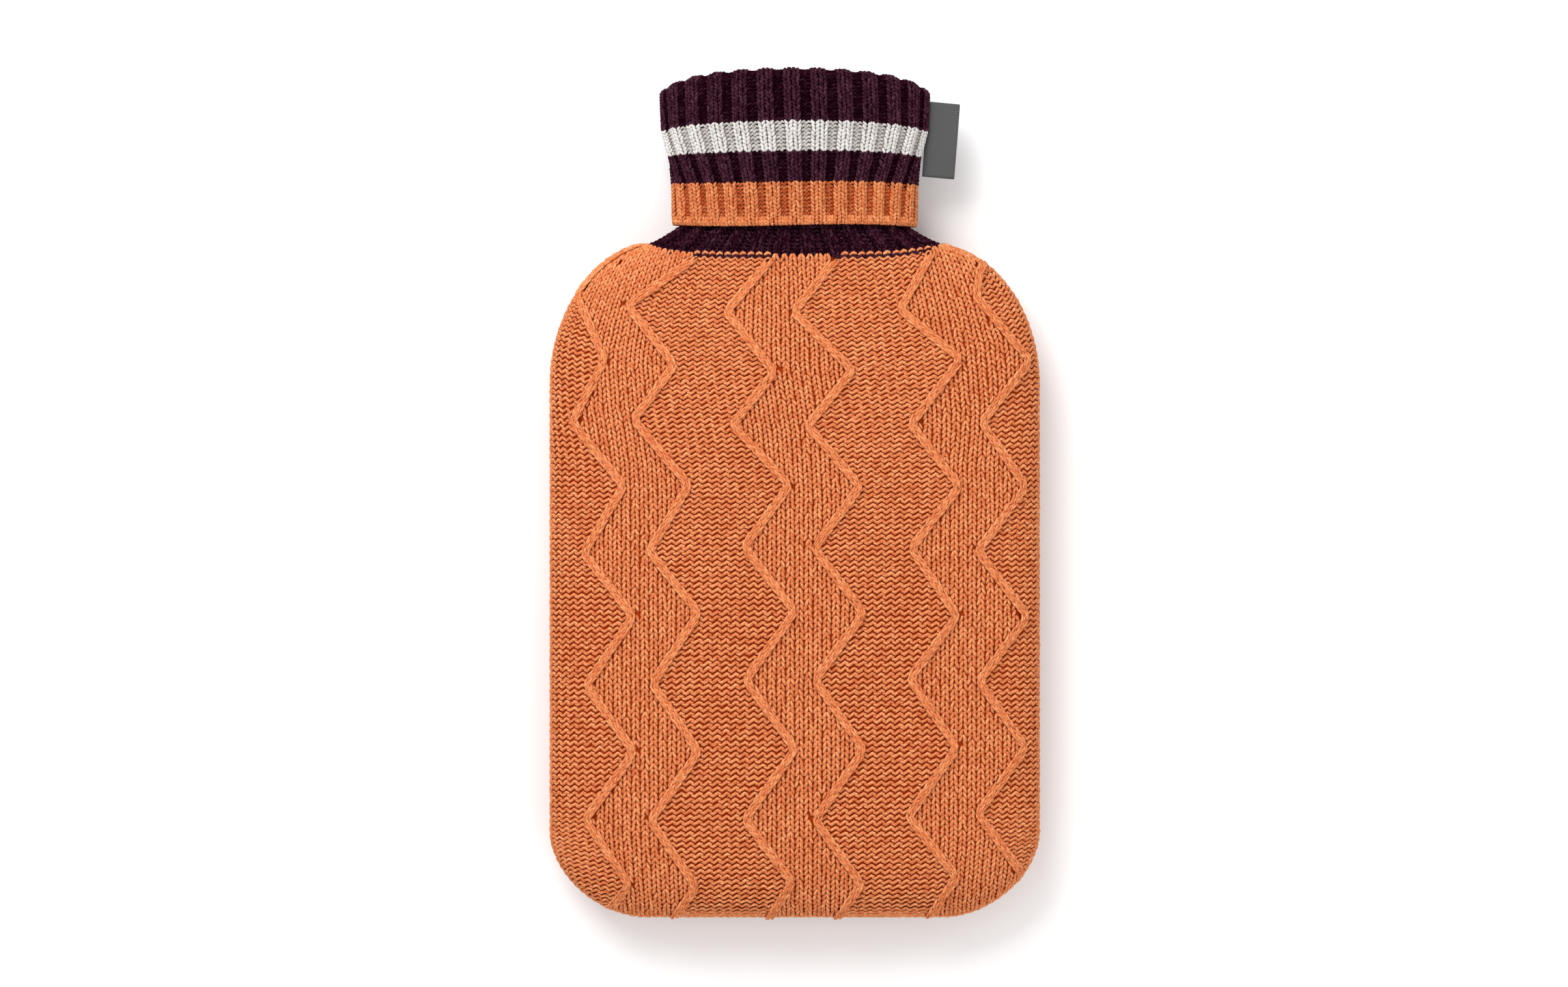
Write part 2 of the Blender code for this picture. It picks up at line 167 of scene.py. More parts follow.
@dataclass(frozen=True)
class Yarn:
    """A soft, lightly twisted wool yarn."""

    name: str
    shade: Colour  # its darker fibres
    middle: Colour
    lit: Colour  # its lighter fibres
    halo: float = 0.10  # how much its fuzz catches the light
    gloss: float = 0.06
    streak_length: float = 1.5  # of a fibre that stands out, in mm
    streaks_around: float = 13.0
    streaks_apart: float = 60.0  # how far from each other two strokes' streaks are, for a tone of 1 between them
    twist: float = 1.1  # how many streaks a fibre crosses in each mm along the yarn
    fuzz: float = 0.34  # how much single fibres vary
    fuzz_size: float = 0.28  # in mm
    lighter: float = 0.14  # how much a tone of 1 lightens a stroke
    stops: tuple[float, float, float] = (0.48, 0.68, 0.90)  # where its three colours are on the ramp
    relief: float = 0.4  # of its fibres, in mm

    def material(self) -> bpy.types.Material:
        """Makes the yarn's material.

        Returns:
            A material that reads how far along and around its yarn a point is.
        """
        recipe = Recipe(self.name)
        strand = recipe.add("Attribute", {}, attribute_name=STRAND).outputs["Vector"]
        along, around, tone = recipe.add("SeparateXYZ", {0: strand}).outputs
        streaks = recipe.add("CombineXYZ", {
            0: recipe.math("MULTIPLY", along, 1 / self.streak_length),
            1: recipe.math("MULTIPLY_ADD", along, self.twist, recipe.math("MULTIPLY", around, self.streaks_around)),
            2: recipe.math("MULTIPLY", tone, self.streaks_apart),
        }).outputs[0]
        fibres = recipe.add("TexNoise", {"Scale": 1.0, "Detail": 2.0, "Roughness": 0.6, "Vector": streaks})
        size = 1 / (self.fuzz_size * MM)
        speckle = recipe.add("TexNoise", {"Scale": size, "Detail": 1.0, "Vector": recipe.place()})
        height = recipe.math("MULTIPLY_ADD", speckle.outputs["Fac"], self.fuzz, fibres.outputs["Fac"])
        ramp = recipe.add("ValToRGB", {0: recipe.math("MULTIPLY_ADD", tone, self.lighter, height)})
        stops = ramp.color_ramp.elements
        stops[0].position, stops[0].color = self.stops[0], (*self.shade, 1.0)
        stops[1].position, stops[1].color = self.stops[2], (*self.lit, 1.0)
        stops.new(self.stops[1]).color = (*self.middle, 1.0)
        recipe.bump(height, 0.7, self.relief)
        return recipe.finished({
            "Base Color": ramp.outputs[0],
            "Roughness": 0.92,
            "Specular IOR Level": self.gloss,
            "Sheen Weight": self.halo,
            "Sheen Roughness": 0.45,
            "Sheen Tint": (*self.lit, 1.0),
        })


@dataclass(frozen=True)
class ShadedGround:
    """The cloth that shows in the gaps between stitches, coloured dark as painted shade: it stands for the shadowed
    yarn deep in the gaps.
    """

    name: str
    # both colours are painted shade, darker than the yarn, and the cloth is blotched from one to the other
    colour: Colour
    deep: Colour

    def material(self) -> bpy.types.Material:
        """Makes the ground's blotched, matt material.

        Returns:
            The material.
        """
        recipe = Recipe(self.name)
        blotches = recipe.add("TexNoise", {"Scale": 900.0, "Detail": 2.0, "Vector": recipe.place()}).outputs["Fac"]
        colour = recipe.blend(self.deep, self.colour, blotches)
        return recipe.finished({"Base Color": colour, "Roughness": 1.0, "Specular IOR Level": 0.0})


@dataclass(frozen=True)
class Twill:
    """A close diagonal weave."""

    name: str
    colour: Colour
    lit: Colour
    rib: float = 0.9  # from one diagonal to the next, in mm
    relief: float = 0.12  # in mm

    def material(self) -> bpy.types.Material:
        """Makes the ribbon's material, with raised diagonals.

        Returns:
            The material.
        """
        recipe = Recipe(self.name)
        wave = {"Scale": 0.5 / (self.rib * MM), "Distortion": 0.6, "Detail": 1.0, "Vector": recipe.place()}
        lines = recipe.add("TexWave", wave, wave_type="BANDS", bands_direction="DIAGONAL").outputs["Fac"]
        recipe.bump(lines, 0.5, self.relief)
        colour = recipe.blend(self.colour, self.lit, lines)
        return recipe.finished({"Base Color": colour, "Roughness": 0.75, "Sheen Weight": 0.15})


ORANGE = Yarn(name="orange_yarn", shade=(0.42, 0.070, 0.016), middle=(0.66, 0.168, 0.056), lit=(0.90, 0.43, 0.19))
# the body's orange yarn painted darker as a whole, as shade of the rib's deep valleys
SHADED_RIB_ORANGE = Yarn(name="rib_orange_yarn_shaded", shade=(0.34, 0.055, 0.012), middle=(0.56, 0.140, 0.047),
                  lit=(0.80, 0.36, 0.15))
PLUM = Yarn(name="plum_yarn", shade=(0.009, 0.001, 0.003), middle=(0.024, 0.0035, 0.010), lit=(0.105, 0.038, 0.060),
            halo=0.03, gloss=0.0)
CREAM = Yarn(name="cream_yarn", shade=(0.41, 0.375, 0.35), middle=(0.60, 0.57, 0.545), lit=(0.78, 0.76, 0.735))
# painted shade: the dark colours of the gaps between stitches, one for each yarn
ORANGE_GAP_SHADE = ShadedGround(name="orange_gap_shade", colour=(0.42, 0.048, 0.006), deep=(0.26, 0.024, 0.003))
PLUM_GAP_SHADE = ShadedGround(name="plum_gap_shade", colour=(0.008, 0.002, 0.004), deep=(0.004, 0.001, 0.002))
CREAM_GAP_SHADE = ShadedGround(name="cream_gap_shade", colour=(0.30, 0.25, 0.22), deep=(0.16, 0.13, 0.11))
RIBBON = Twill(name="ribbon_twill", colour=(0.030, 0.030, 0.032), lit=(0.075, 0.075, 0.078))

Finish = Yarn | ShadedGround | Twill


# Meshes.


def add_mesh(
    name: str,
    points: Array,
    faces: list[Array],
    slots: Array,
    finishes: list[Finish],
    tags: Array | None = None,
    plan: Array | None = None,
) -> bpy.types.Object:
    """Makes an object of four-sided and three-sided faces.

    Args:
        name: The object's name.
        points: Its points, in millimetres.
        faces: Arrays of faces, each with one number of corners.
        slots: The finish of each face, counted from 0.
        finishes: Its finishes.
        tags: For each point, where it is on its yarn.
        plan: For each point, its place in the map that the looks are baked through, from 0 to 1.

    Returns:
        The object.
    """
    data = bpy.data.meshes.new(name)
    corners = np.concatenate([f.ravel() for f in faces]).astype(np.int32)
    totals = np.concatenate([np.full(len(f), f.shape[1]) for f in faces]).astype(np.int32)
    data.vertices.add(len(points))
    data.vertices.foreach_set("co", (points * MM).astype(np.float32).ravel())
    data.loops.add(len(corners))
    data.loops.foreach_set("vertex_index", corners)
    data.polygons.add(len(totals))
    data.polygons.foreach_set("loop_start", np.concatenate([[0], np.cumsum(totals)[:-1]]).astype(np.int32))
    data.polygons.foreach_set("loop_total", totals)
    for finish in finishes:
        data.materials.append(material_of(finish))
    data.polygons.foreach_set("material_index", slots.astype(np.int32))
    data.update(calc_edges=True)
    if tags is not None:
        tagged = data.attributes.new(STRAND, "FLOAT_VECTOR", "POINT")
        tagged.data.foreach_set("vector", tags.astype(np.float32).ravel())
    if plan is not None:
        layer = data.uv_layers.new(name=BAKE_MAP)
        layer.data.foreach_set("uv", plan[corners].astype(np.float32).ravel())
    data.shade_smooth()
    piece = bpy.data.objects.new(name, data)
    bpy.context.scene.collection.objects.link(piece)
    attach(piece, "root")
    LOG.info("%s: %d triangles", name, int((totals - 2).sum()))
    return piece


@cache
def material_of(finish: Finish) -> bpy.types.Material:
    """The material of a finish, made once."""
    return finish.material()


def grid_faces(numbers: Array) -> Array:
    """The four-sided faces between points in rows and columns, from the points' numbers."""
    return np.stack([numbers[:-1, :-1], numbers[:-1, 1:], numbers[1:, 1:], numbers[1:, :-1]], -1).reshape(-1, 4)


def add_shell(
    name: str, outer: Array, inner: Array, finishes: list[Finish], turned: bool, plan: Plan
) -> bpy.types.Object:
    """Makes a closed shell between two grids of points.

    Args:
        name: The object's name.
        outer: Rows of columns of points on the outer face.
        inner: The same on the inner face.
        finishes: Its finishes, of which it wears the first.
        turned: Whether the grids run the other way round.
        plan: A function that places points in the bake map.

    Returns:
        The object.
    """
    rows, columns = outer.shape[:2]
    back = rows * columns
    number = np.arange(back).reshape(rows, columns)
    cell = grid_faces(number)
    around = np.concatenate([number[0, :-1], number[:-1, -1], number[-1, :0:-1], number[:0:-1, 0]])
    after = np.roll(around, -1)
    rim = np.stack([around, around + back, after + back, after], -1)
    faces = np.concatenate([cell, cell[:, ::-1] + back, rim])
    if turned:
        faces = faces[:, ::-1]
    points = np.concatenate([outer.reshape(-1, 3), inner.reshape(-1, 3)])
    shift = np.concatenate([np.zeros(back), np.ones(back)])
    return add_mesh(name, points, [faces], np.zeros(len(faces)), finishes, plan=plan(points, shift))


@dataclass
class ClothMap:
    """Places points on a cloth by how many wales across and courses up it they are."""

    points: Array  # rows of columns of points, half a stitch apart
    normals: Array
    first_wale: float
    first_course: float
    spare: Array | None = None  # how far each point is inside the cloth's edge
    step: float = 0.5

    def read(self, table: Array, wales: Array, courses: Array) -> Array:
        """Reads a table between its rows and columns.

        Args:
            table: Rows of columns of values.
            wales: How many wales across the points are.
            courses: How many courses up they are.

        Returns:
            The values at the points.
        """
        row = (courses - self.first_course) / self.step
        column = (wales - self.first_wale) / self.step
        low = np.clip(np.floor(row).astype(int), 0, self.points.shape[0] - 2)
        left = np.clip(np.floor(column).astype(int), 0, self.points.shape[1] - 2)
        up, over = row - low, column - left
        if table.ndim == 3:
            up, over = up[..., None], over[..., None]
        below = mixed(table[low, left], table[low, left + 1], over)
        above = mixed(table[low + 1, left], table[low + 1, left + 1], over)
        return mixed(below, above, up)

    def place(self, wales: Array, courses: Array, lifts: Array) -> tuple[Array, Array]:
        """Places points on the cloth.

        Args:
            wales: How many wales across they are.
            courses: How many courses up they are.
            lifts: How far over the cloth's outer face they are.

        Returns:
            The points, and the directions out of the cloth there.
        """
        normals = unit(self.read(self.normals, wales, courses))
        return self.read(self.points, wales, courses) + normals * lifts[..., None], normals


@dataclass(frozen=True)
class Stroke:
    """One visible stroke of yarn of a stitch: its middle line, and half its width and depth in mm."""

    over: tuple[float, ...]  # in wales
    up: tuple[float, ...]  # in courses
    lift: tuple[float, ...]  # in mm
    width: float
    depth: float

    def mirrored(self) -> Stroke:
        """The same stroke with left and right exchanged."""
        return replace(self, over=tuple(-x for x in self.over))

    def turned(self) -> Stroke:
        """The same stroke upside down."""
        return replace(self, up=tuple(-y for y in self.up))

    def sized(self, width: float, depth: float) -> Stroke:
        """The same stroke in another yarn."""
        return replace(self, width=width, depth=depth)


SIDES = 4
TAPER = 0.15  # how much thinner a stroke's first and last rings are than its middle
UNEVEN = 0.05  # how much strokes vary in thickness
STRAND_START = 40.0  # how far along its yarn a stroke starts, for each tone, in mm
SIDE_SHIFT = 0.4  # how far a turn round the yarn moves a point in the bake map, in mm


@dataclass
class Strokes:
    """Gathers many strokes of yarn, and makes one mesh of them."""

    random: np.random.Generator
    tones: tuple[float, float] = (0.1, 0.8)  # of the darkest and the lightest stroke
    batches: list[tuple[Array, ...]] = field(default_factory=list)  # middle lines, directions, widths, depths and slots

    def add(
        self,
        place: Place,
        stroke: Stroke,
        wales: Array,
        courses: Array,
        slots: Array | int,
        sink: float = 0.0,
        wander: float = 0.035,
    ) -> None:
        """Adds the same stroke to many stitches.

        Args:
            place: A function that turns wales, courses and lifts into points and directions.
            stroke: The stroke.
            wales: The wale of each stitch's middle.
            courses: The course of each stitch's middle.
            slots: The finish of each stitch, counted from 0.
            sink: How far under the cloth's outer face the yarn's middle lies.
            wander: How far a stitch strays from its place, in wales or courses.
        """
        count = len(wales)
        if not count:
            return
        stray = self.random.normal(0.0, wander, (2, count, 1))
        over = wales[:, None] + np.array(stroke.over)[None, :] + stray[0]
        up = courses[:, None] + np.array(stroke.up)[None, :] + stray[1]
        lift = np.broadcast_to(np.array(stroke.lift)[None, :] - sink, over.shape)
        thick = self.random.normal(1.0, UNEVEN, count)
        slots = np.broadcast_to(slots, (count,))
        self.batches.append((*place(over, up, lift), stroke.width * thick, stroke.depth * thick, slots))

    def spun(self, name: str, finishes: list[Finish], plan: Plan) -> bpy.types.Object:
        """Makes the mesh.

        Args:
            name: The object's name.
            finishes: Its finishes.
            plan: A function that turns points and lifts into places in the bake map.

        Returns:
            The object.
        """
        middles, normals, widths, depths, slots = (np.concatenate(parts) for parts in zip(*self.batches))
        count, rings = len(middles), middles.shape[1] - 2
        taper = 1 - TAPER * np.abs(np.linspace(-1, 1, rings)) ** 2
        tangents = unit(np.gradient(middles, axis=1))
        across = unit(np.cross(tangents, normals))
        out = np.cross(across, tangents)
        turns = math.pi + 2 * math.pi * np.arange(SIDES) / SIDES
        wide = (widths[:, None] * taper)[:, :, None] * np.sin(turns)
        deep = (depths[:, None] * taper)[:, :, None] * np.cos(turns)
        skin = middles[:, 1:-1, None, :] + wide[..., None] * across[:, 1:-1, None, :]
        skin = skin + deep[..., None] * out[:, 1:-1, None, :]
        points = np.concatenate([skin.reshape(count, -1, 3), middles[:, [0, -1]]], axis=1)
        runs = np.linalg.norm(np.diff(middles, axis=1), axis=2)
        along = np.concatenate([np.zeros((count, 1)), np.cumsum(runs, axis=1)], axis=1)
        tone = mixed(*self.tones, self.random.random(count))
        tags = np.zeros_like(points)
        tags[:, :-2, 0] = np.repeat(along[:, 1:-1], SIDES, axis=1)
        tags[:, -2:, 0] = along[:, [0, -1]]
        tags[:, :-2, 1] = np.tile(np.arange(SIDES) / SIDES, rings)
        tags[:, -2:, 1] = 0.5
        tags[:, :, 2] = tone[:, None]
        tags[:, :, 0] += tone[:, None] * STRAND_START
        lifts = np.zeros(points.shape[:2])
        lifts[:, :-2] = deep.reshape(count, -1)
        shift = tags[:, :, 1] * SIDE_SHIFT + lifts
        quads, tris = stroke_faces(rings)
        starts = (np.arange(count) * points.shape[1])[:, None, None]
        return add_mesh(
            name,
            points.reshape(-1, 3),
            [(quads[None] + starts).reshape(-1, 4), (tris[None] + starts).reshape(-1, 3)],
            np.concatenate([np.repeat(slots, len(quads)), np.repeat(slots, len(tris))]),
            finishes,
            tags.reshape(-1, 3),
            plan(points.reshape(-1, 3), shift.reshape(-1)),
        )


def stroke_faces(rings: int) -> tuple[Array, Array]:
    """The faces of a stroke with so many rings: its sides, and its two pointed ends.

    Args:
        rings: How many rings its skin has.

    Returns:
        Faces of four corners, and faces of three.
    """
    sides = np.arange(SIDES)
    after = (sides + 1) % SIDES
    quads = grid_faces(np.pad(np.arange(rings * SIDES).reshape(rings, SIDES), ((0, 0), (0, 1)), mode="wrap"))
    end, first = (rings - 1) * SIDES, np.full(SIDES, rings * SIDES)
    tips = [np.stack([first, after, sides], 1), np.stack([end + sides, end + after, first + 1], 1)]
    return quads, np.concatenate(tips)


KNIT_LEG = Stroke(
    over=(0.06, 0.12, 0.24, 0.35, 0.44),
    up=(-0.76, -0.38, 0.10, 0.54, 0.94),
    lift=(-0.65, -0.10, 0.12, -0.05, -0.75),
    width=0.71,
    depth=0.76,
)
CABLE_LEG = Stroke(
    over=(0.02, 0.11, 0.24, 0.37, 0.48),
    up=(-0.72, -0.36, 0.08, 0.50, 0.88),
    lift=(-0.62, -0.06, 0.12, -0.03, -0.72),
    width=0.61,
    depth=0.76,
)
PLAIN_LEG = Stroke(
    over=(0.02, 0.14, 0.31, 0.45),
    up=(-0.66, -0.14, 0.38, 0.86),
    lift=(-0.75, 0.06, 0.06, -0.80),
    width=0.80,
    depth=0.80,
)
BODY_LEGS = (KNIT_LEG.turned(), KNIT_LEG.turned().mirrored())  # the body is knitted from its top down
BACK_LEGS = (PLAIN_LEG.turned(), PLAIN_LEG.turned().mirrored())
PURL_HEAD = Stroke(
    over=(-0.56, -0.30, 0.02, 0.28, 0.52),
    up=(-0.44, -0.02, 0.31, 0.13, -0.24),
    lift=(-0.60, -0.02, 0.16, -0.02, -0.70),
    width=0.71,
    depth=0.74,
)
PURL_SINKER = Stroke(
    over=(-0.52, -0.28, -0.02, 0.30, 0.56),
    up=(0.24, -0.13, -0.31, 0.02, 0.44),
    lift=(-0.70, -0.06, 0.06, -0.04, -0.60),
    width=0.70,
    depth=0.72,
)
RIB_LEG = Stroke(KNIT_LEG.over, KNIT_LEG.up, tuple(0.55 * x for x in KNIT_LEG.lift), 0.76, 0.66)
RIB_HEAD = Stroke(
    tuple(1.2 * x for x in PURL_HEAD.over), PURL_HEAD.up, tuple(0.5 * x for x in PURL_HEAD.lift), 0.60, 0.58
)
RIB_SINKER = PURL_SINKER.sized(0.62, 0.56)
PLUM_HEAD = PURL_HEAD.sized(0.42, 0.42)  # these two are the thin line where the body's orange meets the plum rib
PLUM_SINKER = PURL_SINKER.sized(0.42, 0.42)
LAST_HEAD = PURL_HEAD.sized(0.72, 0.75)


# The body.


class Face(Enum):
    """Which of the two panels."""

    FRONT = 1
    BACK = -1


@dataclass(frozen=True)
class BodyForm:
    """The form of the two panels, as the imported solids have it."""

    length: float = 347.4  # of the whole cover
    half_width: float = 100.2
    seam_z: float = 20.0  # how high over the surface the plane of the seams is
    gap: float = 0.4  # between two solids
    knit: float = 3.0  # the panels' thickness
    corner_across: float = 38.7  # the width and the height of a rounded bottom corner
    corner_up: float = 34.8
    corner_power: float = 1.8
    shoulder_x: float = 55.0  # where a shoulder's curve would end, at its top
    shoulder_y: float = 44.0  # where it starts, and how high it is
    shoulder_up: float = 58.0
    neck_y: float = 96.0  # the neckline's height at the middle, and at its ends
    neck_side_y: float = 101.4
    neck_power: float = 5.0
    front_swell: float = 20.0  # how far the two faces stand from the plane of the seams
    back_swell: float = 21.6
    swell_power: float = 2.8
    bottom_swell: float = 62.0  # over the bottom edge, up to where they stand as far as that
    neck_slimmer: float = 0.15  # the share of it that they lose towards the neck
    neck_slimming: float = 56.0  # under the neckline, from where they lose it
    bend_from: float = 0.93  # the share of the way up from where the rows bend towards the neckline

    @property
    def bottom_y(self) -> float:
        """The height of the bottom edge."""
        return -self.length / 2

    @property
    def top_y(self) -> float:
        """The height at which the panels end, at the middle."""
        return self.neck_y - self.gap / 2

    def half_width_at(self, y: Array, inset: float = 0.0) -> Array:
        """Half of the body's width at a height, in an outline that lies inset inside the real one.

        Args:
            y: The height.
            inset: How far inside the real one the outline lies.

        Returns:
            From the middle to the outline.
        """
        y = np.asarray(y, float)
        corner = self.half_width - self.corner_across + (self.corner_across - inset) * rounded(
            np.clip((self.bottom_y + self.corner_up - y) / (self.corner_up - inset), 0, 1), self.corner_power)
        shoulder = self.shoulder_x + (self.half_width - self.shoulder_x - inset) * rounded(
            np.clip((y - self.shoulder_y) / (self.shoulder_up - inset), 0, 1), 2.0)
        return np.where(y < self.shoulder_y, corner, shoulder)

    def neckline_y(self, x: Array) -> Array:
        """The height of the line where the body ends and the rib starts."""
        half = self.half_width_at(self.neck_side_y)
        return self.neck_y + (self.neck_side_y - self.neck_y) * np.abs(x / half) ** self.neck_power

    def neck_corner(self, inset: float) -> float:
        """How far from the middle the neckline meets the outline that lies inset inside the real one.

        Args:
            inset: How far inside the real one the outline lies.

        Returns:
            The place across, to the right.
        """
        low, high = 0.0, float(self.half_width_at(self.neck_side_y))
        for _ in range(50):
            middle = (low + high) / 2
            inside = middle < self.half_width_at(self.neckline_y(middle), inset)
            low, high = (middle, high) if inside else (low, middle)
        return low

    def slimming(self, y: Array) -> Array:
        """How far on the way to the neck a height is, from 0 on the body to 1 at the neck."""
        return eased((y - (self.neck_y - self.neck_slimming)) / self.neck_slimming)

    def depth_at(self, y: Array, inset: float, face: Face) -> Array:
        """How far the middle of a face stands from the plane of the seams, at a height.

        Args:
            y: The height.
            inset: How far inside the real one the face lies.
            face: Which panel.

        Returns:
            The distance, which is never below 0.
        """
        slim = self.slimming(y)
        most = self.front_swell if face is Face.FRONT else mixed(self.back_swell, self.front_swell, slim)
        start = self.bottom_y + self.bottom_swell
        along = rounded(np.clip((start - y) / (self.bottom_swell - inset), 0, 1), self.swell_power)
        return (most * (1 - self.neck_slimmer * slim) - inset) * along

    def swell(self, x: Array, y: Array, inset: float, face: Face) -> Array:
        """How far a face stands from the plane of the seams, at a point."""
        across = rounded(x / np.maximum(self.half_width_at(y, inset), 1.0), self.swell_power)
        return self.depth_at(y, inset, face) * across

    def height(self, x: Array, y: Array, inset: float, face: Face) -> Array:
        """The height over the surface of a face, or of the one that lies inset behind it."""
        swell = np.maximum(self.swell(x, y, inset, face), self.gap / 2)
        return self.seam_z + swell if face is Face.FRONT else np.maximum(self.seam_z - swell, inset)

    def side_y(self, middle_y: Array, inset: float = 0.0) -> Array:
        """How high rows of a panel are where they meet its outline.

        Args:
            middle_y: How high they are at the middle.
            inset: How far inside the real one the outline lies.

        Returns:
            The heights.
        """
        level = (middle_y - self.bottom_y - inset) / (self.top_y - self.bottom_y - inset)
        bend = np.maximum(0.0, (level - self.bend_from) / (1 - self.bend_from))
        corner_y = self.neckline_y(self.neck_corner(inset)) - self.gap / 2
        return middle_y + (corner_y - self.top_y) * bend**2

    def normals(self, x: Array, y: Array, face: Face) -> Array:
        """The directions out of a face.

        Args:
            x: Places across.
            y: Heights.
            face: Which panel.

        Returns:
            Vectors with a length of 1.
        """
        power, step = self.swell_power, 0.05
        width, depth = self.half_width_at(y), np.maximum(self.depth_at(y, 0, face), 0.05)
        wider = (self.half_width_at(y + step) - self.half_width_at(y - step)) / (2 * step)
        deeper = (self.depth_at(y + step, 0, face) - self.depth_at(y - step, 0, face)) / (2 * step)
        over = np.clip(np.abs(x) / width, 0.0, 1.0)
        up = np.clip(self.swell(x, y, 0, face) / depth, 0.0, 1.0)
        along_x = np.sign(x) * over ** (power - 1) / width
        along_z = up ** (power - 1) / depth
        along_y = -(over**power) * wider / width - up**power * deeper / depth
        normals = unit(np.stack([along_x, along_y, face.value * along_z], axis=-1))
        if face is Face.BACK:
            lies = (self.seam_z - self.swell(x, y, 0, face) < 0)[..., None]
            normals = np.where(lies, np.array([0.0, 0.0, -1.0]), normals)
        return normals


@dataclass(frozen=True)
class Lie:
    """How the knit lies on a panel. Each table has heights at the middle, and what holds there, in mm."""

    course_pitches: tuple[tuple[float, float], ...] = (
        (-174.0, 2.20), (-150.0, 2.22), (-125.0, 2.32), (-50.0, 2.30), (-20.0, 2.13), (10.0, 2.04), (35.0, 1.95),
        (96.0, 1.92),
    )
    wale_pitches: tuple[tuple[float, float], ...] = (
        (-174.0, 3.60), (-140.0, 3.70), (10.0, 3.72), (32.0, 3.86), (55.0, 3.86), (74.0, 3.70), (96.0, 3.42),
    )
    drifts: tuple[tuple[float, float], ...] = ((0.0, 0.0), (24.0, -1.5), (50.0, -5.5), (96.0, -6.0))
    kinks: tuple[tuple[float, float], ...] = ((50.0, 62.0), (76.0, 57.0), (96.0, 46.0))
    slope: float = 0.27  # of a course beyond its kink
    softness: float = 6.0
    climbs_from: float = -10.0  # the height where courses start to climb towards the sides
    climbs_full: float = 68.0
    follows_neck: float = 80.0  # the height where courses start to take on the neckline's form
    past_neck_slope: float = 0.45  # of such a course beyond the neckline's ends
    low_kink: float = 60.0  # the same near the bottom edge
    low_slope: float = 0.20
    low_height: float = 50.0  # over the bottom edge, up to where that ends
    squeeze: float = 0.08  # of the outer wales, towards the neck
    squeeze_from: float = 44.0

    def at(self, table: tuple[tuple[float, float], ...], height: Array) -> Array:
        """Reads one of the tables."""
        heights, values = zip(*table)
        return np.interp(height, heights, values)

    def climb(self, x: Array, kink: Array) -> Array:
        """How far a line with a slope of 1 beyond its kink has climbed."""
        over, at_middle = np.abs(x) - kink, 0.5 * (np.hypot(kink, self.softness) - kink)
        return 0.5 * (np.hypot(over, self.softness) + over) - at_middle


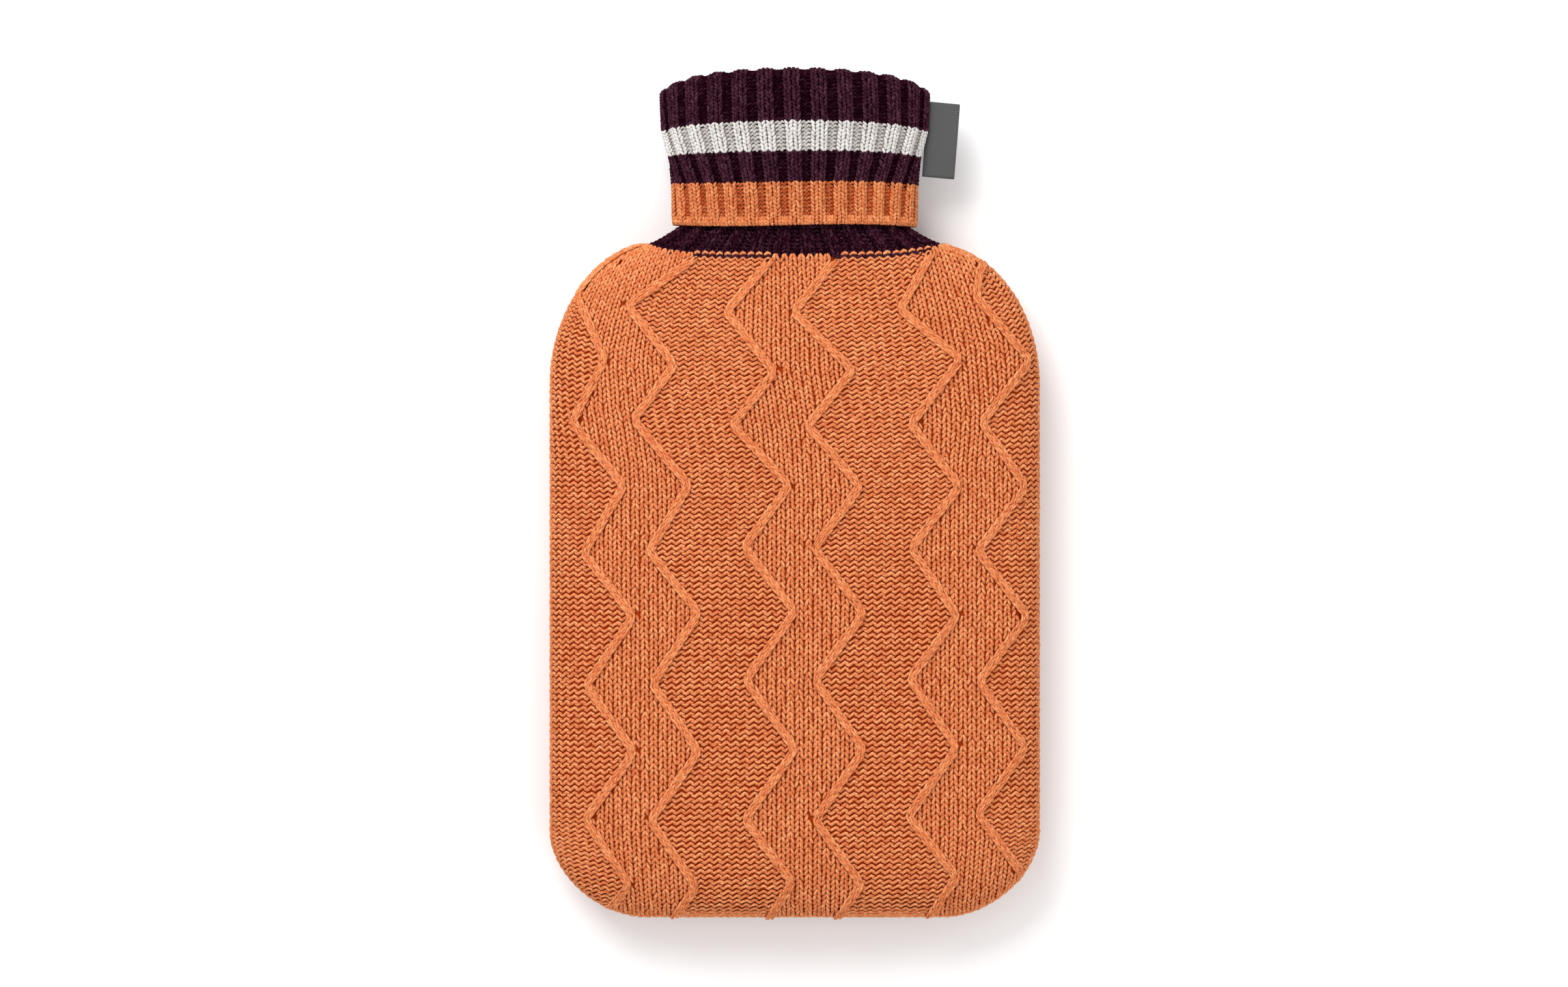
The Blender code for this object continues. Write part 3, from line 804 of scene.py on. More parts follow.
@dataclass
class KnitPanel:
    """One of the two knitted panels: its ground cloth, and where its stitches are."""

    form: BodyForm
    face: Face
    lie: Lie = field(default_factory=Lie)
    wales: int = 58
    sink: float = 0.80  # how far under the cloth's outer face the yarn's middle lies
    ground_inset: float = 1.5  # how far under it the ground cloth's outer face lies
    ground_columns: int = 61
    ground_levels: tuple[float, ...] = (0.0, 0.0008, 0.003, 0.008, *np.linspace(0.016, 1, 60))
    map_margins: tuple[float, float] = (40.0, 16.0)  # of the bake map, across and up, in mm
    map_shifts: tuple[float, float] = (0.5, 0.35)  # how far a point's side of the yarn moves it there
    map_lean: float = 0.3  # how far its height over the seams moves it there

    def __post_init__(self) -> None:
        """Works out the heights of the courses."""
        form, steps = self.form, 2000
        turns = np.linspace(math.pi / 2, 0, steps)
        depth = form.depth_at(np.array(0.0), 0, self.face)
        low_y = form.bottom_y + form.bottom_swell * (1 - np.sin(turns) ** (2 / form.swell_power))
        low_z = depth * np.cos(turns) ** (2 / form.swell_power)
        high_y = np.linspace(low_y[-1], form.top_y, steps)[1:]
        runs = np.concatenate([np.hypot(np.diff(low_y), np.diff(low_z)), np.diff(high_y, prepend=low_y[-1])])
        self.ys = np.concatenate([low_y, high_y])
        pitches = self.lie.at(self.lie.course_pitches, self.ys[1:])
        self.counts = np.concatenate([[0.0], np.cumsum(runs / pitches)])
        self.courses = float(self.counts[-1])

    def stitches(self) -> tuple[Array, Array]:
        """Lists the panel's stitches, row by row from the bottom.

        Returns:
            The wale and the course of each one's middle.
        """
        wales = np.arange(self.wales) + 0.5 - self.wales / 2
        courses = np.arange(int(self.courses)) + 0.5 + (self.courses - int(self.courses))
        grid = np.meshgrid(wales, courses)
        return grid[0].ravel(), grid[1].ravel()

    def y_of(self, course: Array) -> Array:
        """The height, at the middle, of a course."""
        beyond = np.maximum(course - self.courses, 0.0) * self.lie.course_pitches[-1][1]
        return np.interp(course, self.counts, self.ys) + beyond

    def rise(self, x: Array, middle_y: Array) -> Array:
        """How much higher than at the middle a course is.

        Args:
            x: Places across.
            middle_y: The course's height at the middle.

        Returns:
            The difference in height.
        """
        form, lie = self.form, self.lie
        share = eased((middle_y - lie.climbs_from) / (lie.climbs_full - lie.climbs_from))
        side = lie.slope * share * lie.climb(x, lie.at(lie.kinks, middle_y))
        corner = float(form.half_width_at(form.neck_side_y))
        reach = np.abs(x)
        beyond = lie.past_neck_slope * np.maximum(reach - corner, 0.0)
        at_neck = form.neckline_y(np.minimum(reach, corner)) - form.neck_y + beyond
        side = mixed(side, at_neck, eased((middle_y - lie.follows_neck) / (form.neck_y - lie.follows_neck)))
        low = 1 - eased((middle_y - form.bottom_y) / lie.low_height)
        return side + lie.low_slope * low * lie.climb(x, lie.low_kink)

    def ends_of(self, middle_y: Array) -> Array:
        """How far from the middle courses meet the outline.

        Args:
            middle_y: The courses' heights at the middle.

        Returns:
            Places across, to the right.
        """
        low, high = np.zeros_like(middle_y), np.full_like(middle_y, self.form.half_width)
        for _ in range(40):
            middle = (low + high) / 2
            inside = middle < self.form.half_width_at(middle_y + self.rise(middle, middle_y))
            low, high = np.where(inside, middle, low), np.where(inside, high, middle)
        return low

    def chart(self) -> ClothMap:
        """Works out where each half stitch of the panel is.

        Returns:
            A map of the panel's face.
        """
        form, lie = self.form, self.lie
        courses = np.arange(-1.0, self.courses + 2.0, 0.5)
        wales = np.arange(-self.wales / 2 - 1, self.wales / 2 + 1.5, 0.5)
        middles = self.y_of(courses)
        shares = np.sin(np.linspace(0, math.pi / 2, 500)) ** (2 / form.swell_power)
        x = self.ends_of(middles)[:, None] * shares
        y = middles[:, None] + self.rise(x, middles[:, None])
        z = form.swell(x, y, 0, self.face)
        runs = np.sqrt(np.diff(x, axis=1) ** 2 + np.diff(y, axis=1) ** 2 + np.diff(z, axis=1) ** 2)
        arcs = np.concatenate([np.zeros((len(middles), 1)), np.cumsum(runs, axis=1)], axis=1)
        ends = arcs[:, -1:]
        flat = lie.at(lie.wale_pitches, middles)[:, None] * wales
        share = np.clip(flat / ends, -1, 1)
        squeeze = lie.squeeze * eased((middles - lie.squeeze_from) / (form.neck_y - lie.squeeze_from))[:, None]
        reach = flat * (1 - squeeze * share**2) + lie.at(lie.drifts, middles)[:, None] * (1 - share**2)
        over = np.stack([np.interp(np.abs(r), arc, row) for r, arc, row in zip(reach, arcs, x)]) * np.sign(reach)
        up = middles[:, None] + self.rise(over, middles[:, None])
        out = np.maximum(form.seam_z + self.face.value * form.swell(over, up, 0, self.face), 0.0)
        points = np.stack([over, up, out], axis=-1)
        return ClothMap(points, form.normals(over, up, self.face), wales[0], courses[0], ends - np.abs(reach))

    def plan(self, points: Array, shift: Array) -> Array:
        """Places points in the bake map as seen face on, moved a little by their side of the yarn.

        Args:
            points: The points.
            shift: Their sides of the yarn.

        Returns:
            Places from 0 to 1.
        """
        form, (over, up), (wide, high) = self.form, self.map_shifts, self.map_margins
        lean = self.face.value * self.map_lean * points[:, 2]
        u = (points[:, 0] + over * shift + lean) / (2 * form.half_width + wide)
        v = (points[:, 1] + up * shift - form.bottom_y) / (form.neck_side_y - form.bottom_y + high)
        return np.clip(np.stack([u + 0.5, v + 0.02], axis=1), *MAP_ENDS)

    def ground(self, name: str) -> bpy.types.Object:
        """Makes the thin cloth under the stitches, dark with painted shade of the gaps.

        Args:
            name: The object's name.

        Returns:
            The object.
        """
        form, levels, skins = self.form, np.array(self.ground_levels), []
        shares = np.sin(np.linspace(-math.pi / 2, math.pi / 2, self.ground_columns))
        for inset in (self.ground_inset, form.knit):
            middle_y = form.bottom_y + inset + (form.top_y - form.bottom_y - inset) * levels
            side_y = form.side_y(middle_y, inset)[:, None]
            edge = form.half_width_at(side_y, inset)
            x = edge * shares[None, :]
            y = mixed(middle_y[:, None], side_y, np.abs(shares)[None, :] ** form.neck_power)
            skins.append(np.stack([x, y, form.height(x, y, inset, self.face)], axis=-1))
        return add_shell(name, *skins, [ORANGE_GAP_SHADE], self.face is Face.BACK, self.plan)


@dataclass(frozen=True)
class Cables:
    """The three zigzag bands of the front, each between two cables."""

    # where each cable turns, as places and heights from its top down
    turns: tuple[tuple[tuple[float, float], ...], ...] = (
        ((-88.4, 79.8), (-77.3, 54.0), (-90.6, 28.5), (-69.5, 2.4), (-85.9, -24.8), (-65.7, -50.6),
         (-84.8, -78.8), (-65.3, -105.5), (-85.1, -133.2), (-67.3, -159.9), (-89.6, -186.5)),
        ((-40.6, 95.2), (-68.0, 76.0), (-48.9, 51.6), (-65.5, 29.5), (-43.1, 2.8), (-59.2, -23.9), (-39.0, -49.2),
         (-57.9, -77.6), (-39.1, -105.5), (-58.6, -133.4), (-40.1, -160.2), (-60.1, -188.8)),
        ((-8.2, 96.5), (-27.9, 73.3), (-8.3, 48.8), (-25.4, 27.4), (-2.2, 2.8), (-20.6, -22.0), (0.0, -48.6),
         (-20.0, -76.3), (0.2, -104.5), (-20.4, -132.9), (-0.9, -158.7), (-20.1, -188.5)),
        ((17.9, 96.5), (-0.6, 73.2), (23.5, 49.7), (5.2, 26.9), (26.6, 2.4), (7.9, -22.5), (27.9, -49.2),
         (8.2, -76.3), (27.9, -104.5), (8.3, -133.2), (27.0, -159.4), (6.8, -189.0)),
        ((55.3, 96.5), (42.7, 74.3), (67.4, 54.0), (47.1, 27.7), (66.8, 2.4), (47.2, -22.8), (66.0, -50.2),
         (46.6, -75.8), (65.8, -103.8), (45.9, -131.7), (65.8, -156.4), (44.9, -188.2)),
        ((76.2, 96.5), (73.7, 79.8), (95.7, 53.6), (75.9, 28.4), (94.0, 2.4), (74.4, -23.8), (94.6, -50.6),
         (74.8, -76.8), (94.0, -104.0), (74.3, -130.4), (92.7, -155.7), (75.1, -189.5)),
    )
    hug: float = 1.5  # how far inside the outline the first cable ends up
    hugs_over: float = 4.0  # of height, in which it gets there from its topmost turn
    corner: int = 7  # how many quarter courses a corner is rounded over
    hidden: float = 0.5  # a stitch whose middle is this near a cable's is under it
    pitch: float = 3.7  # from stitch to stitch along a cable
    wale: float = 1.62  # each of a cable's two columns
    lift: float = 0.42  # of its yarn over the cloth's outer face
    lowered: float = 1.6  # how many times that it is lowered by where it sinks into the cloth
    wander: float = 0.05
    shortest: int = 12  # no stretch of a cable has fewer quarter courses
    fades: float = 5.0  # a cable sinks into the cloth over this much before the outline
    hole_in: tuple[float, float] = (1.6, 0.42)  # from a turn that points in to a small hole in the band, and its size
    hole_out: tuple[float, float] = (3.6, 0.62)
    hole_up: float = 1.3
    shoulder_hole_size: float = 0.52
    shoulder_holes: tuple[tuple[float, float], ...] = (
        (-85.0, 85.2), (-80.2, 89.6), (-75.7, 92.4), (-71.3, 94.9), (-66.5, 97.1), (-61.5, 99.3),
    )

    def lines(self, y: Array) -> Array:
        """Where the six cables are at heights, along a new last axis.

        Args:
            y: The heights.

        Returns:
            Places across, the leftmost cable's first.
        """
        lines = []
        for turns in self.turns:
            places, heights = np.array(turns)[::-1].T
            lines.append(np.interp(y, heights, places))
        return np.stack(lines, axis=-1)

    def lines_on(self, form: BodyForm, y: Array) -> Array:
        """The same, with the first cable following the outline above its topmost turn.

        Args:
            form: The body.
            y: The heights.

        Returns:
            Places across, the leftmost cable's first.
        """
        lines, y = self.lines(y), np.asarray(y)
        top = self.turns[0][0][1]
        edge = self.hug - form.half_width_at(y)
        hugging = mixed(lines[..., 0], edge, eased((y - top) / self.hugs_over))
        lines[..., 0] = np.where(y > top, hugging, lines[..., 0])
        return lines

    def rounding(self, places: Array) -> Array:
        """Rounds the corners of a line.

        Args:
            places: Places across, a quarter of a course apart.

        Returns:
            The places on the rounded line.
        """
        kernel = np.hanning(2 * self.corner + 1)
        padded = np.pad(places, self.corner, mode="reflect", reflect_type="odd")
        return np.convolve(padded, kernel / kernel.sum(), mode="valid")

    def holes(self) -> list[tuple[float, float, float]]:
        """The small holes beside the cables' turns, and those along the first cable on the shoulder, with their sizes.

        Returns:
            The place across, the height and the size of each.
        """
        holes = [(x, y, self.shoulder_hole_size) for x, y in self.shoulder_holes]
        for number, turns in enumerate(self.turns):
            into = 1 if number % 2 == 0 else -1
            for before, turn, after in zip(turns, turns[1:], turns[2:]):
                points_in = (turn[0] - (before[0] + after[0]) / 2) * into > 0
                over, size = self.hole_in if points_in else self.hole_out
                holes.append((turn[0] + into * over, turn[1] + self.hole_up, size))
        return holes


@dataclass
class Front(KnitPanel):
    """The front, with its cables."""

    cables: Cables = field(default_factory=Cables)
    seam_over: float = 0.7  # how far over the plane of the seams its stitches are
    seam_past: float = 0.4  # how far past the neckline they start
    neck_zone: float = 0.6  # how far under the neckline its bands and fields are read, in courses
    tips_up: float = 0.05  # how far past it the bands' last stitches are, in courses
    tips_out: float = 0.35  # how far they stand out over the others
    to_seam: float = 1.2  # no other stitch's middle is nearer to the outline
    seam_pitch: float = 3.3
    seam_wale: float = 3.0
    cable_to_seam: float = 0.8  # no cable goes nearer to the outline
    shoulder_from: float = 40.0  # over this height the first cable runs along the outline
    shoulder_rise: float = 0.75  # with this share of its lift

    def build(self) -> list[bpy.types.Object]:
        """Builds the front.

        Returns:
            Its pieces, the ground cloth first.
        """
        cloth = self.chart()
        random = np.random.default_rng(11)
        knit, low_purl, high_purl = Strokes(random), Strokes(random), Strokes(random)
        wales, courses = self.stitches()
        zone = self.zones(cloth, wales, courses)
        for leg in BODY_LEGS:
            shown = (zone == 1) & ~self.in_holes(cloth, wales + leg.over[2], courses)
            knit.add(cloth.place, leg, wales[shown], courses[shown], 0, self.sink)
        between = wales + 0.5
        high = courses > self.courses / 2
        for purl, half in ((low_purl, ~high), (high_purl, high)):
            heads = half & (zone == 0)
            purl.add(cloth.place, PURL_HEAD, wales[heads], courses[heads], 0, self.sink)
            sinkers = half & (self.zones(cloth, between, courses) == 0)
            purl.add(cloth.place, PURL_SINKER, between[sinkers], courses[sinkers] + 0.02, 0, self.sink)
        self.neckline(cloth, knit, high_purl)
        self.seam(knit)
        pieces = [self.ground("front_ground")]
        pieces.append(knit.spun("front_knit_bands", [ORANGE], self.plan))
        pieces.append(low_purl.spun("front_purl_lower", [ORANGE], self.plan))
        pieces.append(high_purl.spun("front_purl_upper", [ORANGE, PLUM], self.plan))
        pieces.append(self.ropes(cloth, random))
        return pieces

    def neckline(self, cloth: ClothMap, knit: Strokes, purl: Strokes) -> None:
        """Adds the last orange course, whose stitches stand up into the plum rib.

        Args:
            cloth: Where the stitches go.
            knit: What gathers the knit bands' strokes.
            purl: What gathers the strokes of the fields between them.
        """
        wales = np.arange(-self.wales / 2, self.wales / 2 + 0.5, 0.5)
        zone = self.zones(cloth, wales, np.full_like(wales, self.courses - self.neck_zone))
        middles = wales % 1 == 0.5
        tips = wales[middles & (zone == 1)]
        for leg in BODY_LEGS:
            courses = np.full_like(tips, self.courses + self.tips_up)
            knit.add(cloth.place, leg, tips, courses, 0, self.sink - self.tips_out)
        bumps, gaps = wales[middles & (zone == 0)], wales[~middles & (zone == 0)]
        for stroke, places, up, slot, sink in (
            (PLUM_SINKER, gaps, 0.12, 1, 0.35),
            (PLUM_HEAD, bumps, -0.02, 1, 0.40),
            (LAST_HEAD, bumps, 0.52, 0, self.sink - 0.2),
        ):
            purl.add(cloth.place, stroke, places, np.full_like(places, self.courses + up), slot, sink)

    def seam(self, knit: Strokes) -> None:
        """Adds the column of stitches over the seam, from one end of the neckline down and round to the other.

        Args:
            knit: What gathers its strokes.
        """
        form = self.form
        top = float(form.neckline_y(form.neck_corner(0.0))) + self.seam_past
        down = top + (form.bottom_y - top) * np.sin(np.linspace(0, math.pi / 2, 500))
        side = np.stack([form.half_width_at(down), down], axis=-1)
        outline = np.concatenate([side * (-1, 1), side[::-1]])
        runs = np.concatenate([[0.0], np.cumsum(np.linalg.norm(np.diff(outline, axis=0), axis=1))])
        steps = np.arange(0.0, runs[-1], 1.0)
        points = np.stack([np.interp(steps, runs, outline[:, i]) for i in range(2)]
                          + [np.full_like(steps, form.seam_z + self.seam_over)], axis=-1)
        along = unit(np.gradient(points, axis=0))
        normals = np.stack([along[:, 1], -along[:, 0], np.zeros_like(steps)], axis=-1)
        seam = replace(self.cables, pitch=self.seam_pitch, wale=self.seam_wale)
        path = CablePath(points, normals, np.ones_like(steps), seam)
        count = int(path.length / path.cables.pitch)
        stitches = (np.arange(count) + 0.5) * path.length / path.cables.pitch / count
        for leg in BODY_LEGS:
            knit.add(path.place, leg, np.zeros(count), stitches, 0, self.sink)

    def zones(self, cloth: ClothMap, wales: Array, courses: Array) -> Array:
        """Sorts places into purl fields (0), knit bands (1) and what doesn't show (-1).

        Args:
            cloth: Where the stitches go.
            wales: The places' wales.
            courses: The places' courses.

        Returns:
            The sort of each place.
        """
        points, _ = cloth.place(wales, courses, np.zeros_like(wales))
        lines = self.cables.lines_on(self.form, points[:, 1])
        x = points[:, 0]
        above = points[:, 1] > self.cables.turns[0][0][1]  # there, the first cable follows the outline
        inside = (x < lines[:, 1]) & (above | (x > lines[:, 0]))
        for left in (2, 4):
            inside |= (x > lines[:, left]) & (x < lines[:, left + 1])
        hidden = (np.abs(x[:, None] - lines) < self.cables.hidden).any(axis=1)
        cut = cloth.read(cloth.spare, wales, courses) < self.to_seam
        return np.where(hidden | cut, -1, np.where(inside, 1, 0))

    def in_holes(self, cloth: ClothMap, wales: Array, courses: Array) -> Array:
        """Which places are in the small holes beside the cables' turns.

        Args:
            cloth: Where the stitches go.
            wales: The places' wales.
            courses: The places' courses.

        Returns:
            Whether each place is in one.
        """
        points, _ = cloth.place(wales, courses, np.zeros_like(wales))
        gone = np.zeros(len(wales), bool)
        for x, y, size in self.cables.holes():
            gone |= np.hypot(points[:, 0] - x, points[:, 1] - y) < size
        return gone

    def ropes(self, cloth: ClothMap, random: np.random.Generator) -> bpy.types.Object:
        """Makes the six cables, each two slanting columns of long stitches.

        Args:
            cloth: The cloth under them.
            random: What makes the stitches differ.

        Returns:
            One object with all six.
        """
        ropes, cables = Strokes(random), self.cables
        for path in (path for number in range(len(cables.turns)) for path in self.cable_paths(cloth, number)):
            count = int(path.length / cables.pitch - 0.3)
            for column, first in ((-0.5, 0.6), (0.5, 1.1)):  # the columns are half a stitch out of step
                for leg in (CABLE_LEG, CABLE_LEG.mirrored()):
                    courses, wales = np.arange(count) + first, np.full(count, column)
                    ropes.add(path.place, leg, wales, courses, 0, -cables.lift, cables.wander)
        return ropes.spun("front_cables", [ORANGE], self.plan)

    def cable_paths(self, cloth: ClothMap, number: int) -> list[CablePath]:
        """The line of one cable over the cloth, in as many stretches as lie inside the outline.

        Args:
            cloth: The cloth under it.
            number: The cable's number from the left, from 0.

        Returns:
            The stretches, from the bottom up.
        """
        courses = np.arange(0.0, self.courses + 0.05, 0.25)
        columns = cloth.first_wale + cloth.step * np.arange(cloth.points.shape[1])
        wales = []
        for course in courses:
            row = cloth.read(cloth.points, columns, np.full(len(columns), course))
            lines = self.cables.lines_on(self.form, row[:, 1])[:, number]
            wales.append(np.interp(0.0, row[:, 0] - lines, columns))
        smooth = self.cables.rounding(np.array(wales))
        points, normals = cloth.place(smooth, courses, np.zeros_like(smooth))
        shown = cloth.read(cloth.spare, smooth, courses) > self.cable_to_seam
        edge = self.form.half_width_at(points[:, 1]) - np.abs(points[:, 0])
        rise = eased(edge / self.cables.fades)
        if number == 0:
            rise = np.where(points[:, 1] > self.shoulder_from, self.shoulder_rise, rise)
        stops = np.flatnonzero(np.diff(np.concatenate([[False], shown, [False]])))
        return [CablePath(points[a:b], normals[a:b], rise[a:b], self.cables)
                for a, b in zip(stops[::2], stops[1::2]) if b - a > self.cables.shortest]


@dataclass
class CablePath:
    """Places points by how far along and across a cable they are."""

    points: Array
    normals: Array
    rise: Array  # how much of the cable's lift it has, from 0 to 1
    cables: Cables

    def __post_init__(self) -> None:
        """Works out the distance along the cable."""
        runs = np.linalg.norm(np.diff(self.points, axis=0), axis=1)
        self.distances = np.concatenate([[0.0], np.cumsum(runs)])
        self.length = float(self.distances[-1])
        self.tangents = unit(np.gradient(self.points, axis=0))
        self.across = unit(np.cross(self.tangents, self.normals))

    def at(self, table: Array, distances: Array) -> Array:
        """Reads a table along the cable."""
        return np.stack([np.interp(distances, self.distances, table[:, i]) for i in range(3)], axis=-1)

    def place(self, wales: Array, courses: Array, lifts: Array) -> tuple[Array, Array]:
        """Places points on the cable: see ClothMap.place.

        Args:
            wales: How many of the cable's columns across they are.
            courses: How many stitches along it they are.
            lifts: How far over the cloth's outer face they are.

        Returns:
            The points, and the directions out of the cloth there.
        """
        distances = courses * self.cables.pitch
        normals = unit(self.at(self.normals, distances))
        beyond = np.maximum(distances - self.length, 0)[..., None] * self.tangents[-1]
        rise = np.interp(distances, self.distances, self.rise)
        lifts = lifts - (1 - rise) * self.cables.lift * self.cables.lowered
        over = (wales * self.cables.wale)[..., None] * self.at(self.across, distances)
        return self.at(self.points, distances) + beyond + over + normals * lifts[..., None], normals


@dataclass
class Back(KnitPanel):
    """The back, in plain knit."""

    corner_from: float = 44.0  # from here outwards, a last row of stitches meets the neck
    corner_up: float = 0.4  # how far past the last course it is, in courses
    to_seam: float = 0.4  # no stitch's middle is nearer to the outline

    def build(self) -> list[bpy.types.Object]:
        """Builds the back.

        Returns:
            Its pieces, the ground cloth first.
        """
        cloth = self.chart()
        random = np.random.default_rng(12)
        wales, courses = self.stitches()
        last = wales[: self.wales]
        last = last[np.abs(cloth.read(cloth.points, last, np.full_like(last, self.courses))[:, 0]) > self.corner_from]
        wales = np.concatenate([wales, last])
        courses = np.concatenate([courses, np.full_like(last, self.courses + self.corner_up)])
        shown = cloth.read(cloth.spare, wales, courses) > self.to_seam
        wales, courses = wales[shown], courses[shown]
        pieces = [self.ground("back_ground")]
        for half, name in enumerate(("back_knit_lower", "back_knit_upper")):
            mine = (courses > self.courses / 2) == bool(half)
            knit = Strokes(random)
            for leg in BACK_LEGS:
                knit.add(cloth.place, leg, wales[mine], courses[mine], 0, self.sink)
            pieces.append(knit.spun(name, [ORANGE], self.plan))
        return pieces


# The rib collar.


class Stripe(Enum):
    """The slots of the collar's yarns."""

    PLUM = 0
    CREAM = 1
    ORANGE = 2


@dataclass(frozen=True)
class Section:
    """The collar's outside at a share of the way from its hem to its fold, and the stripe above it."""

    share: float
    half_width: float
    half_depth: float
    stripe: Stripe
    spread: tuple[float, ...]  # how far round the collar the ribs of rib_marks are


@dataclass
class RibCollar:
    """The neck's rib, and the collar that it turns down into."""

    form: BodyForm
    ribs: int = 24
    raised: float = 1.8  # a ridge over the valleys
    layer: float = 3.0
    layer_gap: float = 0.5
    fold_settles: float = 0.7  # how much lower the fold's loops lie than the solid's fold
    fold_relief: float = 0.55  # the share of the rib's relief that is left at the fold
    neck_depth: float = 3.8  # how far behind the collar's outside the neck's outside is at the hem
    neck_under_hem: float = -1.0  # how far up under the hem the neck's stitches start
    neck_hollow: float = 1.3
    neck_raised: float = 1.4
    neck_flat: float = 0.35  # how far the neck's low end leans out at its sides
    neck_corner: tuple[float, float] = (0.93, 1.1)  # beyond this share across, the lowest courses are left out
    hem_y: float = 108.5
    hem_wave: float = 0.4
    hem_waves: int = 3
    hem_round: float = 1.5
    rim_drop: float = 4.6  # how much lower than at the middle the fold is at the sides
    rim_drop_at_side: float = 3.3
    pitch: float = 1.55  # from course to course
    sink: float = 0.62  # of the yarn's middle in a ridge
    valley_sink: float = 0.60
    hem_knit: float = 1.6  # up to this course, the hem is knit all round
    ground: float = 1.25  # how far under a ridge the ground cloth lies
    valley_ground: float = 1.15
    hem_courses: float = -2.5  # the first one, under the hem
    inside_courses: float = 9.0
    inner_ground: float = 5.3  # how far behind the collar's outside the ground's inner skin lies
    knit_share: float = 0.33  # half of a ridge's knit, as a share of a rib, at the fold
    knit_share_at_hem: float = 0.355
    knit_courses: float = 25.0  # from the hem, over which the one turns into the other
    ribs_start: tuple[float, float] = (2.6, 0.15)  # over how many courses the relief starts, and with which share
    fold_from: float = 0.72  # the share of the way from hem to fold where the relief starts to lessen
    ridge_share: float = 0.21  # where a ridge starts to fall
    valley_share: float = 0.42
    level_share: float = 0.75  # how far the stitches on a ridge's sides turn back towards the way that the cloth faces
    sections: tuple[Section, ...] = (
        Section(0.00, 50.4, 17.2, Stripe.ORANGE, (0.0, 0.0204, 0.0614, 0.101, 0.1358, 0.169, 0.2036, 0.235, 0.5)),
        Section(0.268, 50.8, 17.6, Stripe.PLUM, (0.0, 0.0206, 0.0620, 0.102, 0.138, 0.172, 0.207, 0.238, 0.5)),
        Section(0.485, 52.4, 18.5, Stripe.CREAM, (0.0, 0.0218, 0.0662, 0.1085, 0.149, 0.187, 0.221, 0.247, 0.5)),
        Section(0.699, 54.8, 19.3, Stripe.PLUM, (0.0, 0.0225, 0.0685, 0.111, 0.154, 0.193, 0.228, 0.255, 0.5)),
        Section(1.00, 55.4, 19.6, Stripe.PLUM, (0.0, 0.0228, 0.0665, 0.109, 0.151, 0.190, 0.229, 0.265, 0.5)),
    )
    rib_marks: tuple[float, ...] = (0.0, 0.5, 1.5, 2.5, 3.5, 4.5, 5.5, 6.5, 12.0)
    lean: tuple[float, float] = (0.0035, -0.0065)  # how far round the middle ridge is, at the hem and at the fold
    # the valleys' strokes get darker tones, as painted shade in the rib's valleys
    valley_shade_tones: tuple[float, float] = (-1.4, 0.0)
    # the neck's strokes get darker tones, as painted shade under the collar's hem
    neck_shade_tones: tuple[float, float] = (-0.7, 0.5)
    map_axes: tuple[float, float] = (55.0, 20.0)  # half of the collar's width and depth, as the bake map takes them
    map_mouth: tuple[float, float] = (52.0, 16.0)  # the same for what is inside its mouth
    map_length: float = 92.0
    map_halves: tuple[float, float] = (0.02, 0.5)  # where in it the outside and the inside start
    map_half: float = 0.48  # the height of each
    map_inside: float = 2.0  # no point lower than this over the hem is in the inside's half
    map_shift: float = 0.0012  # how far a point's side of the yarn moves it round
    lining_under: float = 0.9  # how far behind the neck's outside its ground cloth is, inside the collar
    lining_over: float = 0.1  # how much further back than a layer is thick its ground cloth's back is

    def __post_init__(self) -> None:
        """Works out the directions at even steps round the fold."""
        steps = 7200
        last = self.sections[-1]
        self.turns = 2 * math.pi * np.arange(steps + 1) / steps
        runs = np.hypot(last.half_width * np.cos(self.turns), last.half_depth * np.sin(self.turns))
        self.arcs = np.concatenate([[0.0], np.cumsum(runs[:-1])])
        self.arcs /= self.arcs[-1]
        self.wall = 2 * self.layer + self.layer_gap
        self.fold_y = self.form.length / 2 - self.wall / 2 - self.fold_settles
        self.outside_courses = (self.fold_y - self.hem_y - self.hem_round) / self.pitch
        self.fold_courses = math.pi * self.wall / 2 / self.pitch
        self.wales = 4 * self.ribs

    def phase(self, wales: Array) -> Array:
        """Where in its rib a wale is, from -0.5 to 0.5, with 0 at the middle of a turned-down ridge."""
        ribs = wales / 4
        return ribs - np.round(ribs)

    def round_share(self, wales: Array, knit: Array) -> Array:
        """The share of the way round the collar of wales, where a ridge's knit is that wide.

        Args:
            wales: The wales.
            knit: Half of the width of a ridge's knit, as a share of a rib.

        Returns:
            The shares, from 0 to 1.
        """
        phase = np.abs(self.phase(wales))
        inner = phase / 0.25 * knit
        outer = knit + (phase - 0.25) / 0.25 * (0.5 - knit)
        spread = np.sign(self.phase(wales)) * np.where(phase < 0.25, inner, outer)
        return (np.round(wales / 4) + spread) / self.ribs

    def spread(self, shares: Array, share: Array) -> Array:
        """Moves even shares of the way round to where the ribs are at a share of the way from hem to fold.

        Args:
            shares: Even shares of the way round.
            share: The share of the way up from the hem.

        Returns:
            The shares of the way round at which they really are.
        """
        turn = shares - np.round(shares)
        ribs = np.abs(turn) * self.ribs
        place = np.interp(ribs, self.rib_marks, self.sections[0].spread)
        for low, high in zip(self.sections, self.sections[1:]):
            here = np.clip((share - low.share) / (high.share - low.share), 0.0, 1.0)
            place = mixed(place, np.interp(ribs, self.rib_marks, high.spread), here)
        lean = mixed(*self.lean, np.clip(share, 0.0, 1.0)) * (1 - 2 * place)
        return np.sign(turn) * place + lean

    def direction(self, shares: Array) -> tuple[Array, Array]:
        """Across and up, each from -1 to 1, at shares of the way round the collar."""
        turns = np.interp(shares % 1.0, self.arcs, self.turns)
        return np.sin(turns), np.cos(turns)

